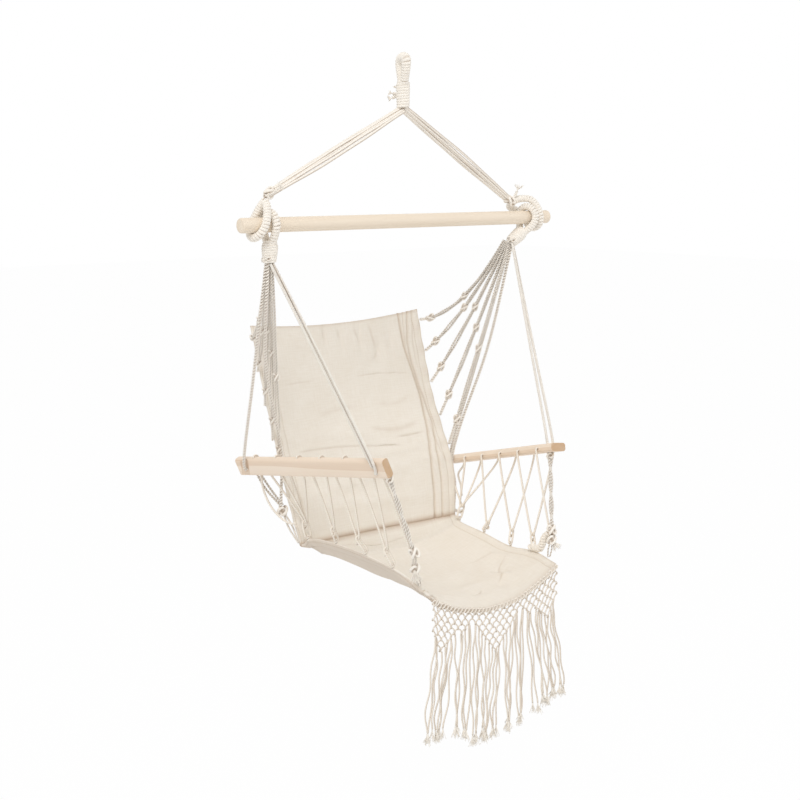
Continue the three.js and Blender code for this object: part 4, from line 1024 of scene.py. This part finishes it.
def cloth(surface, length, crease_shade, under_shade=0.0):
    # Columns lie 1.6 mm apart in the hem, 1.2 mm in the gathers beside it, and 3 mm apart between
    hem, gathers = np.linspace(0, 0.085, 13)[1:], np.linspace(0.085, 0.28, 38)[1:-1]
    outer = np.concatenate([[0], hem, gathers])
    across_line = np.concatenate([-1 + outer, np.linspace(-0.72, 0.72, 110), 1 - outer[::-1]])
    across, down = np.meshgrid(across_line, np.linspace(0, 1, 191))
    middle = surface(across, down)
    over = np.gradient(middle, axis=1)
    fall = np.gradient(middle, axis=0)
    normal = np.cross(over, fall)
    normal /= np.linalg.norm(normal, axis=2)[..., None]
    inset = (1 - np.abs(across)) * half_width
    round_hem = np.sqrt(np.clip(1 - ((inset - casing_radius) / casing_radius) ** 2, 0, 1))
    half = np.where(inset < 2 * casing_radius, canvas_half + casing_half * round_hem, canvas_half)
    ends = np.clip(np.minimum(down, 1 - down) * length / end_taper, 0, 1)
    half = half * (0.55 + 0.45 * np.sqrt(ends))
    top, under = middle + normal * half[..., None], middle - normal * half[..., None]
    # Painted shade along the creases and edges on both faces, and over the whole of one face for the seat's
    # underside
    shade = crease_shade(across, down)
    count, width = across.size, across.shape[1]
    index = np.arange(count).reshape(across.shape)
    a, b, c, d = index[:-1, :-1], index[:-1, 1:], index[1:, 1:], index[1:, :-1]
    upper = np.stack([a, b, c, d], -1).reshape(-1, 4)
    lower = upper[:, ::-1] + count
    rim = np.concatenate([index[0, :-1], index[:-1, -1], index[-1, :0:-1], index[:0:-1, 0]])
    after = np.roll(rim, -1)
    wall = np.stack([after, rim, rim + count, after + count], -1)
    quads = np.vstack([upper, lower, wall])
    flat = np.stack([across * half_width, down * length], -1).reshape(-1, 2)
    flat = np.vstack([flat, flat])
    return {
        "points": np.vstack([top.reshape(-1, 3), under.reshape(-1, 3)]),
        "quads": quads,
        "tris": np.zeros((0, 3), int),
        "quad_uv": flat[quads].reshape(-1, 2),
        "tri_uv": np.zeros((0, 2)),
        "crevice": np.concatenate([shade.ravel() + under_shade, shade.ravel()]),
        "tone": np.full(2 * count, 0.5),
    }


# Painted shade on the back: in the crease at its foot, in the gathers by the casings, along the crease lines,
# and a darker band along its top edge
def back_shade(across, down):
    crease_shade = np.clip((down - 0.972) / 0.028, 0, 1) ** 1.5
    top = 0.35 * np.exp(-((down / 0.010) ** 2))
    gather = 0.10 * np.exp(-(((1 - np.abs(across)) / 0.1) ** 2)) * (0.5 + 0.5 * np.sin(down * 58 + across * 3))
    crease_lines = creases(back_crease_lines, across, down, 1.1)
    return np.clip(0.9 * crease_shade + top + gather + 0.44 * crease_lines, 0, 0.75)


# Painted shade on the seat: in the crease at its rear edge and along the crease lines, and a darker band along
# its front edge
def seat_shade(across, down):
    rear = 0.8 * np.clip((0.05 - down) / 0.05, 0, 1) ** 1.5
    crease_lines = creases(seat_crease_lines, across, down)
    return np.clip(rear + 0.2 * np.exp(-(((1 - down) / 0.02) ** 2)) + 0.46 * crease_lines, 0, 0.75)


back_cloth = cloth(back_surface, back_length, back_shade)
back = piece("canvas_back", [back_cloth], canvas, "seat", ["back_panel"])
# The light comes from above, so the seat's underside takes shade all over
seat_cloth = cloth(seat_surface, seat_length, seat_shade, under_shade=0.34)
seat = piece("canvas_seat", [seat_cloth], canvas, "seat", ["seat_panel"])

# %% [markdown]
# ## Back cords
# Five doubled cords on each side hold the back's edge. Each pair is knotted half way and again near the canvas,
# and ends in a short twisted stub that goes into the casing. The two cords of a pair bow apart between knots.

# %% Back cords
# Where each pair meets the edge, how far it hangs through, and where it starts under the neck
back_pairs = [(0.05, 40, 14.7), (0.2, 22, 10.4), (0.35, 14, 6.1), (0.5, 9, 1.8), (0.65, 6, -2.5)]
back_looks = {"right": (0.0048, 0.30, 1.2), "left": (0.0054, 0.2, 1.35)}
for side, arm in arms.items():
    cord, shade, fat = back_looks[side]
    for index, (share, sag, back_at) in enumerate(back_pairs):
        edge = line_at(back_edges[side], np.array([share]))[0]
        edge[0] -= arm.inner * 0.004
        droop = sag * 0.001 * 4
        start = spring(side, 0.0036, back_at * 0.001, 0.0088, edge - UP * droop)
        at = np.linspace(0, 1, 120)[:, None]
        line = start + (edge - start) * at - UP * droop * at * (1 - at)
        ahead = unit(edge - start)
        apart = unit(np.cross(ahead, (0.1, 1.0, 0.2)))
        first, second = knots_at = (0.46 + 0.05 * np.sin(index * 2.1), 0.86)
        places = [0, 0.2, first - 0.03, first, first + 0.05, 0.7, second - 0.02, 0.9, 1]
        spread = np.interp(at[:, 0], places, mm([1.9, 2.4, 2.2, 1.2, 2.4, 3.4, 1.2, 1.2, 1.0]))
        parts = []
        for way, turn in ((-1, 0.0), (1, 1.5)):
            wave = 0.0008 * np.sin(at * 21 + index + way) * np.sin(at * np.pi)
            strand = line + apart * (way * spread[:, None]) + UP * wave
            cut = int(len(strand) * (second + 0.01))
            parts += rope(strand[:cut], cord, 2, LAY, 6, turn=turn, tone=0.85 + 0.1 * way, shade=shade)
        parts += rope(line[int(len(line) * second) :], 0.0054 * fat, 2, LAY, 7, tone=0.8, shade=shade)
        for k, place in enumerate(knots_at):
            here, after = line[int(len(line) * place) :][:2]
            size = np.array((0.0125, 0.015) if k else (0.0110, 0.014)) * fat
            parts += knot(here, after - here, *size, 48, 7, turn=index + k, tone=0.8)
        label = f"{side}_back_cord_"
        piece(f"{label}pair_{index + 1}", parts, laid_cotton, "seat", [f"{label}{index + 1}"])

# %% [markdown]
# ## Knots and ropes under the armrests
# Below the armrest's front holes the two cords meet in a knot and go on as one loose rope to the seat's front
# corner, where two more knots hold them. The rear rope does the same at the back.

# %% Under knots, front ropes and corner knots
under_knots = {
    "right": (arms["right"].at(0.009, -arm_width / 2 - 0.006 - seat_gap, -0.003), arms["right"].across),
    "left": (arms["left"].at(hang_inset + 0.002, 0, -arm_thick / 2 - 0.006 - seat_gap), arms["left"].up),
}
corner_knots = {
    "right": mm([[-186, -250, -904], [-181, -246, -936]]),
    "left": mm([[187, -244, -925], [184, -246, -944]]),
}
corner_ends = {"right": mm([-172, -250, -969.4]), "left": mm([175, -248, -978.3])}
for side, arm in arms.items():
    middle, axis = under_knots[side]
    knotted = knot(middle, axis, 0.016, 0.0125, turn=0.6)
    for hole in (-1, 1) if side == "right" else ():
        # The right armrest hangs on its edge, so its cords come out sideways and bend down to the knot
        places = [(0.025, hole * hang_spread / 2, -0.004), (0.025, hole * hang_spread / 2, -0.0132),
                  (0.019, -0.014, -0.0132), (0.013, -0.022, -0.0112)]
        leg = smooth([*(arm.at(*place) for place in places), middle], 0.003)
        knotted += rope(leg, 0.0053, 3, 0.015, 6)
    piece(side + "_knot_under_arm", knotted, laid_cotton, side + "_arm", [side + "_under_knot"])
    high, low = corner_knots[side]
    begin = middle - axis * 0.004
    fall = unit(high - begin)
    cross = unit(np.cross(fall, (0.64, 0.76, 0)))
    parts = []
    at = np.linspace(0, 1, 60)[:, None]
    for way, turn in ((-1, 0.0), (1, 2.0)):
        strand = begin + (high - begin) * at + cross * way * 0.0026 * np.cos(at * np.pi * 3)
        parts += rope(strand, 0.0060, 2, LAY, 7, turn=turn, tone=1.0, shade=0.42)
    made = piece(side + "_front_rope_pair", parts, laid_cotton, None, [side + "_front_rope"])
    blends.append((made, side + "_arm", "seat", begin, begin + fall * 0.06))
    end = corner_ends[side]
    parts = knot(high, fall, 0.0205, 0.020, tone=1.0) + knot(low, high - low, 0.0200, 0.019, turn=1.0, tone=1.0)
    for way in (-cross, cross):
        parts += rope(smooth([high, (high + low) / 2 + way * 0.003, low], 0.003), 0.0045, 3, 0.014, 6)
        foot = smooth([low, (low + end) / 2 + way * 0.0035, end + way * 0.002], 0.003)
        parts += rope(foot, 0.0038, 2, 0.012, 6)
    parts += fray(low - fall * 0.002, (-arm.inner * 0.3, -0.5, -0.9), 0.026, 0.5, 30, tone=0.9)
    piece(side + "_corner_knots", parts, laid_cotton, "seat", [side + "_corner_knot"])

# %% Spare end of the rope, wound on itself and lying on the seat's left edge
rest_at, knot_at = line_at(seat_edges["left"], np.array([0.80, 0.86])), corner_knots["left"][0]
wound_line = smooth([
    knot_at + mm([-3, 6, -6]), knot_at + mm([-5, 14, -14]),
    rest_at[1] + mm([-2, 0, 13]), rest_at[0] + mm([-5, 0, 10])], 0.002)
wound_end = served(wound_line, 0.0001 * np.array([55, 72, 80, 80, 66]), 0.0058, shade=1.0, tone=0.2)
wound_end += knot(wound_line[-1], wound_line[-1] - wound_line[-4], 0.017, 0.012, tone=0.3)
piece("left_wound_rope_end", wound_end, laid_cotton, "seat", ())

# %% Rear ropes and rear knots
rear_knots = {"right": mm([-228, 106, -884]), "left": mm([219, 98, -946])}
rear_knot_ends = {"right": mm([-220, 64, -944]), "left": mm([222, 64, -953])}
rear_ropes = {
    "right": mm([[-247, 132, -838], [-227.5, 108.5, -874.1]]),
    "left": mm([[250, 130, -909], [221.8, 101.2, -935.9]]),
}
for side, arm in arms.items():
    rope_top = arm.at(rear_hole, -rear_shift, -arm_thick / 2 - (0.0045 if side == "right" else 0.003))
    line = smooth(np.vstack([rope_top, rear_ropes[side]]), 0.003)
    across_line = unit(np.cross(line[-1] - line[0], (0.64, 0.76, 0)))
    parts = []
    at = np.linspace(0, 1, len(line))[:, None]
    for way, turn in ((-1, 0.5), (1, 2.2)):
        strand = line + across_line * way * (0.0024 + 0.0016 * np.sin(at * np.pi) ** 2)
        parts += rope(strand, 0.0056, 2, 0.0120, 7, turn=turn, tone=0.5)
    made = piece(side + "_rear_rope_pair", parts, laid_cotton, None, [side + "_rear_rope"])
    blends.append((made, side + "_arm", "seat", rope_top, rope_top + unit(line[-1] - rope_top) * 0.05))
    middle, end = rear_knots[side], rear_knot_ends[side]
    parts = knot(middle, UP, 0.0225, 0.020, turn=0.4)
    for way in (-1, 1):
        bow = (middle + end) / 2 + across_line * way * 0.004
        parts += rope(smooth([middle, bow, end], 0.003), 0.0042, 3, 0.013, 6, tone=0.4)
    piece(side + "_rear_corner_knot", parts, laid_cotton, "seat", [side + "_rear_knot"])

# %% [markdown]
# ## Side cords
# One thin cord on each side goes through the armrest's six holes and down to loops on the seat's edge in turn.
# This zigzag takes the most patience on the real chair too: the cord turns under each armrest, hooks through a
# loop, and comes back up to the next hole. Each seat loop is a ring of the same cord, twisted at its foot.

# %% Seat loops and side cords
side_cord = 0.0035
bends = {
    "right": mm([[-210, 54, -902], [-209, -35, -898], [-207, -110, -902], [-196, -181, -911]]),
    "left": mm([[216, 54, -936], [209, -35, -955], [207, -110, -957], [196, -181, -950]]),
}
foot_shares = np.array([0.2, 0.4, 0.6, 0.8])
bend_radius = (side_cord + seat_gap) * 1.12
bend_turns = np.radians([-90, -45, 0, 45, 90])
for side in SIDES:
    feet = line_at(seat_edges[side], foot_shares)
    for index, bend in enumerate(bends[side]):
        foot = feet[index] + UP * (0.004 + side_cord / 2 + bend_radius)
        room = bend_radius + side_cord * 0.64 * (index == 0)
        points = []
        for middle, rise in ((bend, 1), (foot, -1)):
            arc = np.stack([room * np.sin(bend_turns), 0 * bend_turns, bend_radius * np.cos(bend_turns)], -1)
            points += list(middle + arc * rise)
        parts = [half_shaded(tube(smooth(points, 0.0018, True), 0.0021, 8, True), 8)]
        low = feet[index]
        stub = np.array([low - UP * 0.001, low + UP * 0.0105])
        parts += rope(stub, 0.0062, 2, 0.010, 7, tone=0.45)
        parts += knot(bend - UP * 0.010, UP, 0.0085, 0.007, 36, 6, turn=index)
        stands_for = f"{side}_seat_loop_{index + 1}"
        piece(f"{side}_edge_loop_{index + 1}", parts, thin_cotton, "seat", [stands_for])

slack_ends = {
    "right": mm([[-262, 122, -841], [-250, 112, -876], [-236, 94, -899], [-230, 76, -905], [-227, 62, -903]]),
    "left": mm([[275, 130, -884], [266, 112, -905], [256, 98, -925]]),
}
side_starts = {"right": mm([-187, -240.8, -902]), "left": mm([188, -234.9, -922])}
beyond, below = arm_width / 2 + side_cord * 0.8, -arm_thick / 2 - side_cord * 0.8
# On the right: up the inner face from a little ahead, tight round the upper edge, down through the hole
tight = mm([[-15, -11.9], [13, -11.6], [19, -9.2], [21, -4.6], [20.4, -0.8], [15, 0], [-16, 0], [-22, 0.6]])
over = ((beyond, below), (beyond, 0), (-beyond, 0), (-beyond, below))
hole_routes = {"right": (-0.010, tight), "left": (0, over)}


def hole_pass(side, hole):
    back = first_hole + hole * hole_pitch
    ahead, (entry, *rest) = hole_routes[side]
    return [arms[side].at(back + ahead, *entry)] + [arms[side].at(back, *place) for place in rest]


for side, arm in arms.items():
    route = [side_starts[side], *hole_pass(side, 0)]
    for k, index in enumerate((3, 2, 1, 0, 0)):
        twice = (side_cord + seat_gap) / 2
        shift = ((twice if k == 3 else -twice) if index == 0 else 0) * arm.inner
        for turn in bend_turns:
            offset = (shift, bend_radius * np.sin(turn), bend_radius * (1 - np.cos(turn)))
            route.append(bends[side][index] + offset)
        route += hole_pass(side, k + 1)
    route += list(slack_ends[side])
    cord = half_shaded(tube(smooth(route, 0.0025), 0.00215, 8, tone=0.6), 8, 0.6)
    made = piece(side + "_net_cord", [cord], thin_cotton, None, [side + "_side_cord"])
    lower = arm.at(arm_length / 2, 0, 0) - arm.upright * 0.022
    blends.append((made, side + "_arm", "seat", lower, lower - arm.upright * 0.06))

# %% [markdown]
# ## Wood
# The bar is a turned rod with eased ends. Each armrest is a planed stick with rounded long edges: six holes go
# across it, two down through its front end and one at the rear, and a shallow hollow is cut across its top at
# each end where the cords go in. They are made as a joiner would: a blank, eased edges, then the cuts.

# %% Helpers for the bench


def pick(obj, kind, test):
    """Selects only the edges or faces whose middle passes the test, and opens the mesh for editing."""
    bpy.context.view_layer.objects.active = obj
    bpy.context.tool_settings.mesh_select_mode = (False, kind == "EDGE", kind == "FACE")
    mesh = obj.data
    for group in (mesh.vertices, mesh.edges, mesh.polygons):
        group.foreach_set("select", [False] * len(group))
    count = 0
    for element in mesh.edges if kind == "EDGE" else mesh.polygons:
        middle = sum((mesh.vertices[v].co for v in element.vertices), Vector()) / len(element.vertices)
        element.select = bool(test(middle))
        count += element.select
    bpy.ops.object.mode_set(mode="EDIT")
    return count


def close_edit():
    bpy.ops.object.mode_set(mode="OBJECT")


def apply_modifier(obj, kind, **settings):
    bpy.context.view_layer.objects.active = obj
    modifier = obj.modifiers.new(kind.lower(), kind)
    for name, value in settings.items():
        setattr(modifier, name, value)
    bpy.ops.object.modifier_apply(modifier=modifier.name)


def keep_grain(obj, turn):
    """Keeps the drawing coordinates, with the grain along Z, before the piece is put in its place."""
    points = np.array([turn @ v.co for v in obj.data.vertices])
    obj.data.attributes.new("grain", "FLOAT_VECTOR", "POINT").data.foreach_set("vector", points.ravel())


# %% Spreader bar
flush = 1e-5
bpy.ops.object.select_all(action="DESELECT")
bpy.ops.mesh.primitive_cylinder_add(vertices=48, radius=bar_radius, depth=bar_length)
bar = bpy.context.object
bar.name = "turned_bar"
found = pick(bar, "EDGE", lambda middle: abs(abs(middle.z) - bar_length / 2) < flush)
bpy.ops.mesh.bevel(offset=0.003, segments=4, profile=0.5, affect="EDGES")
close_edit()
keep_grain(bar, Matrix.Identity(3))
bar.data.transform(Matrix.Translation((bar_offset, 0, -bar_drop)) @ Matrix.Rotation(np.pi / 2, 4, "Y"))
bar.data.materials.append(bar_beech)
bpy.ops.object.shade_smooth_by_angle(angle=np.radians(35))
settle(bar, "bar", ["spreader_bar"])
print("bar:", found, "end edges eased,", len(bar.data.polygons), "faces")

# %% Armrest blank
bpy.ops.object.select_all(action="DESELECT")
# Planing leaves it 0.5 mm thinner than its solid
planed = (arm_width, arm_thick * 0.97, arm_length)
bpy.ops.mesh.primitive_cube_add(size=1, location=(0, 0, arm_length / 2), scale=planed)
blank = bpy.context.object
bpy.ops.object.transform_apply(location=True, rotation=True, scale=True)
pick(blank, "EDGE", lambda middle: abs(middle.z - arm_length / 2) < flush)
bpy.ops.mesh.bevel(offset=0.0058, segments=7, profile=0.5, affect="EDGES")
close_edit()
pick(blank, "EDGE", lambda middle: not flush < middle.z < arm_length - flush)
bpy.ops.mesh.bevel(offset=0.0010, segments=2, profile=0.5, affect="EDGES")
close_edit()
# A narrow margin round each long face keeps its own shading flat
found = pick(
    blank, "FACE",
    lambda middle: min(abs(middle.x), abs(middle.y)) < 0.0003 and abs(middle.z - arm_length / 2) < 0.01)
bpy.ops.mesh.inset(thickness=0.0006, use_individual=True)
close_edit()
print("blank:", found, "long faces,", len(blank.data.polygons), "faces")

# %% Holes and hollows


def drill(radius, depth, location, rotation, vertices):
    bpy.ops.mesh.primitive_cylinder_add(
        vertices=vertices, radius=radius, depth=depth, location=location, rotation=rotation)
    made = bpy.context.object
    bpy.ops.object.transform_apply(location=True, rotation=True, scale=True)
    return made


def cut_away(obj, cutters):
    for cutter in cutters:
        apply_modifier(obj, "BOOLEAN", operation="DIFFERENCE", object=cutter, solver="EXACT")
        bpy.data.objects.remove(cutter)


across_turn, up_turn = (0, np.pi / 2, 0), (np.pi / 2, 0, 0)
through, down_through = arm_width + cut_over, arm_thick + cut_over
cutters = [
    drill(net_bore, through, (0, 0, first_hole + k * hole_pitch), across_turn, 14) for k in range(hole_count)]
cutters += [
    drill(hang_bore, down_through, (place * hang_spread / 2, 0, hang_inset), up_turn, 16) for place in (-1, 1)]
front_hollow, front_deep, rear_hollow, rear_deep = 0.012, 0.002, 0.018, 0.0044
front_spot = (0, arm_thick / 2 + front_hollow - front_deep, hang_inset)
cutters.append(drill(front_hollow, through, front_spot, across_turn, 64))
cut_away(blank, cutters)
print("armrest with its cuts:", len(blank.data.polygons), "faces")

# %% Place an armrest on each side
for side, arm in arms.items():
    wood_piece = blank.copy()
    wood_piece.data = blank.data.copy()
    wood_piece.name = side + "_planed_armrest"
    bpy.context.collection.objects.link(wood_piece)
    bpy.ops.object.select_all(action="DESELECT")
    slanted = (0, np.pi / 2 - arm.inner * np.radians(20), 0)
    cut_away(wood_piece, [
        drill(rear_bore, down_through, (arm.inner * rear_shift, 0, rear_hole), up_turn, 16),
        drill(rear_hollow, arm_width * 2, (0, arm_thick / 2 + rear_hollow - rear_deep, rear_hole), slanted, 96),
    ])
    bpy.ops.object.select_all(action="DESELECT")
    wood_piece.select_set(True)
    apply_modifier(
        wood_piece, "BEVEL", width=0.0005, segments=2, limit_method="ANGLE", angle_limit=np.radians(40),
        use_clamp_overlap=True)
    keep_grain(wood_piece, Matrix.Identity(3))
    shaded = wood_piece.data.attributes.new("crevice", "FLOAT", "CORNER")
    wood_piece.data.materials.append(arm_pine)
    wood_piece.data.materials.append(end_grain)
    for face in wood_piece.data.polygons:
        spot = face.center
        at_end = abs(spot.z - arm_length / 2) > arm_length / 2 - 0.0005
        face.material_index = int(abs(face.normal.z) > 0.8 and at_end)
        # Painted shade on the floor of the rear hollow
        if abs(spot.z - rear_hole) < 0.02 and face.normal.y > 0.6 and spot.y < arm_thick * 0.485 - 0.0005:
            for corner in face.loop_indices:
                shaded.data[corner].value = 0.22
    columns = np.stack([-arm.inner * arm.across, arm.up, arm.back, arm.front], 1)
    place = Matrix([[*row] for row in columns] + [[0, 0, 0, 1]])
    wood_piece.data.transform(place)
    bpy.context.view_layer.objects.active = wood_piece
    bpy.ops.object.shade_smooth_by_angle(angle=np.radians(35))
    apply_modifier(wood_piece, "WEIGHTED_NORMAL", keep_sharp=True, weight=80)
    settle(wood_piece, side + "_arm", [side + "_armrest"])
    print(wood_piece.name, len(wood_piece.data.polygons), "faces")
bpy.data.objects.remove(blank)

# %% [markdown]
# ## Fringe
# Macramé under the seat's front edge: cords are hitched on in a row, knotted into diamonds that come down in
# three points, and then hang free to frayed ends. The knots sit on a lattice that follows the edge, so the
# lattice is drawn along the edge's own length and hung from it.

# %% The lattice of knots
front_across = np.linspace(-1, 1, 121)
front_edge = seat_surface(front_across[None], np.ones((1, 121)))[0]
edge_along = distances(front_edge)
edge_length = edge_along[-1]
fringe_y = front_edge[0, 1]
column_count = int(round(edge_length / 0.0185))
column = edge_length / column_count
mesh_height, edge_drop = 0.0205, 0.005
point_width, point_top, point_deep = 0.41, 0.026, 0.062


def hung(distance, fall):
    x = np.interp(distance, edge_along, front_edge[:, 0])
    z = np.interp(distance, edge_along, front_edge[:, 2])
    return np.array([x, fringe_y, z - edge_drop - fall])


def depth_at(distance):
    """How far the net comes down: three points, one at the middle and one near each end."""
    phase = (distance / edge_length - 0.5) / point_width
    return point_top + point_deep * (1 - 2 * abs(phase - np.round(phase)))


lattice = {}
for level in range(10):
    fall = (level / 2 + 0.2) * mesh_height
    offset = 0.5 if level % 2 == 0 else 0.0
    for k in range(column_count + (level % 2)):
        distance = (k + offset) * column
        if fall <= depth_at(np.clip(distance, 0.001, edge_length - 0.001)) + 0.002:
            lattice[level, round((k + offset) * 2)] = (distance, fall)
print("fringe:", column_count, "columns,", len(lattice), "knots, edge", round(edge_length, 3), "m")

# %% Net and knots of the fringe
net = []
for (level, place), (distance, fall) in lattice.items():
    jitter = chance.normal(0, 0.0006, 3)
    here = hung(distance, fall)
    size = 0.0046 if level % 2 else 0.0056
    net += knot(here + jitter, (0, 0, 1), size, size, 30, 6, turn=chance.uniform(0, 6), tone=0.6)
    for step in (-1, 1):
        below = lattice.get((level + 1, place + step))
        if below is None:
            continue
        there = hung(*below)
        # One cord to a side of each diamond, bowed out a little so that the diamonds are rounded
        bow = (here + there) / 2 + (0.0016 * step, chance.normal(0, 0.0008), 0.0012)
        bow = bow + chance.normal(0, 0.0004, 3)
        cord = tube(smooth([here, bow, there], 0.0030), 0.00135, 7, tone=0.5 + 0.2 * step)
        net.append(half_shaded(cord, 7, 0.7))
hitches = []
for k in range(column_count * 2):
    distance = (k + 0.5) * column / 2
    place = hung(distance, -0.0015)
    hitch = knot(place, (0.55, 0, 1), 0.0090, 0.0115, 36, 7, turn=k * 1.7, tone=0.9)
    for part in hitch:
        # Their shade falls off from the near end to the far one
        part["crevice"] *= np.interp(k / column_count / 2, [0, 0.3, 0.55, 1], [0.9, 0.8, 0.35, 0.3])
    hitches += hitch
    nearest = min((abs(d - distance), d, f) for (level, _), (d, f) in lattice.items() if level == 0)
    hitches.append(tube(smooth([place, hung(nearest[1], nearest[2])], 0.003), 0.0013, 6))
fringe_net = piece("fringe_net", net, thin_cotton, "seat", ["fringe"])
fringe_hitches = piece("fringe_hitches", hitches, thin_cotton, "seat", ())

# %% Hanging cords and their frayed ends
tassels = mm([-174, -148, -105, -82, -58, -31, -7, 35, 67, 110, 139, 164, 185])
tassel_cords = [3, 5, 3, 3, 3, 4, 3, 4, 4, 2, 4, 3, 3]
end_at = mm([-174, -105, -58, -7, 67, 110, 164, 185])
tassel_ends = np.interp(tassels, end_at, mm([-1262, -1272, -1299, -1296, -1290, -1281, -1256, -1259]))
bottom = {}
for (level, place), (distance, fall) in lattice.items():
    if (level + 1, place - 1) not in lattice or (level + 1, place + 1) not in lattice:
        bottom[level, place] = (distance, fall)
total = sum(tassel_cords)
hanging, frays = [], []
cord_number = 0
for x, z, count in zip(tassels, tassel_ends, tassel_cords):
    for k in range(count):
        distance = (cord_number + 0.5) / total * edge_length
        cord_number += 1
        start_at = min(bottom.values(), key=lambda spot: abs(spot[0] - distance) - spot[1] * 0.15)
        start = hung(*start_at) + (chance.uniform(-0.002, 0.002), chance.uniform(-0.002, 0.002), -0.002)
        spread = (k - (count - 1) / 2) * 0.0042
        end = np.array([x + spread, fringe_y + chance.uniform(-0.004, 0.004), z + chance.uniform(0.0, 0.010)])
        at = np.linspace(0, 1, 44)[:, None]
        ease = at * at * (3 - 2 * at)
        line = start + (end - start) * np.hstack([ease, ease, at])
        belly = np.sin(at * np.pi) * (distance - start_at[0]) * 0.9
        wave = 0.0026 * np.sin(at * chance.uniform(9, 17) + chance.uniform(0, 6)) * np.minimum(1, at * 6)
        line = line + np.hstack([belly + wave, 0.0015 * np.sin(at * 11 + k) * at, 0 * at])
        hanging.append(half_shaded(tube(line[:-3], 0.0016, 7, tone=chance.uniform(0.15, 0.6)), 7, 0.75))
        frays += fray(line[-5], line[-1] - line[-6] + (spread * 0.2, 0, 0), 0.027, 0.26, 14, tone=0.2)
fringe_cords = piece("fringe_hanging_cords", hanging, thin_cotton, "seat", ())
fringe_ends = piece("fringe_frayed_ends", frays, laid_cotton, "seat", ())

# %% [markdown]
# ## Cords across the armrests' joints
# The two canvases and the fringe move with the seat's body. The cords that cross an armrest's joint have
# their placement baked into their meshes here, once their meshes are final.

for made, body_a, body_b, start, end in blends:
    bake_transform(made)
print(len(blends), "cords bend at the armrests")

# %% [markdown]
# ## Floor and light
# A pale floor far below and an even white room, with one broad lamp above and to the left that gives the
# folds and the plies their soft shade, and a weak one on the right that fills it. The camera sees the floor
# and the room as white, and the floor still takes a faint shadow.

# %% Floor


def background_rays(add):
    """1 where the camera looks at the background, in the open or by way of gloss and glass, and 0 elsewhere."""
    seen = add("LightPath").outputs
    open_or_gloss = add("Math", [seen["Is Camera Ray"], seen["Is Glossy Ray"]], operation="MAXIMUM")
    return add("Math", [open_or_gloss, seen["Is Transmission Ray"]], operation="MAXIMUM")


white = {"Color": (1, 1, 1, 1), "Strength": 1.0}
bpy.ops.mesh.primitive_plane_add(size=40, location=(0, 0, -1.8))
floor = bpy.context.object
floor.name = "pale_floor"
floor_paint, add, surface = new_material("matt_floor_paint", Roughness=0.9, Base_Color=colour("#F7F7F7"))
# 3% of the paint shows, which is enough for a faint shadow
clear = add("Math", [background_rays(add), 0.97], operation="MULTIPLY")
either = add("MixShader", [clear, surface, add("Emission", white)])
feed(floor_paint.node_tree.nodes["Material Output"], {"Surface": either})
floor.data.materials.append(floor_paint)

# %% Room and lamps
world = bpy.data.worlds.new("white_room")
bpy.context.scene.world = world
world.use_nodes = True
room = world.node_tree
add = partial(node, room)
# The room is a little darker below than above, so undersides and the lower halves of cords take shade
height = add("SeparateXYZ", [add("TexCoord").outputs["Generated"]]).outputs[2]
strength = add("Math", [height, 0.12, 0.635], operation="MULTIPLY_ADD")
light = feed(room.nodes["Background"], {"Color": (1.0, 0.99, 0.975, 1), "Strength": strength})
shown = add("MixShader", [background_rays(add), light, add("Background", white)])
feed(room.nodes["World Output"], {"Surface": shown})


def softbox(name, location, target, size, watts):
    lamp = bpy.data.lights.new(name, "AREA")
    lamp.size, lamp.energy = size, watts
    made = bpy.data.objects.new(name, lamp)
    made.location = location
    made.rotation_euler = (Vector(target) - Vector(location)).to_track_quat("-Z", "Y").to_euler()
    bpy.context.collection.objects.link(made)
    return made


softbox("broad_lamp_above", (-3.4, -2.6, 3.8), (0, 0, -0.8), 3.4, 138)
softbox("fill_from_the_right", (2.6, -2.2, 0.2), (0, 0, -0.8), 2.2, 15)
bpy.context.scene.view_settings.view_transform = "Standard"
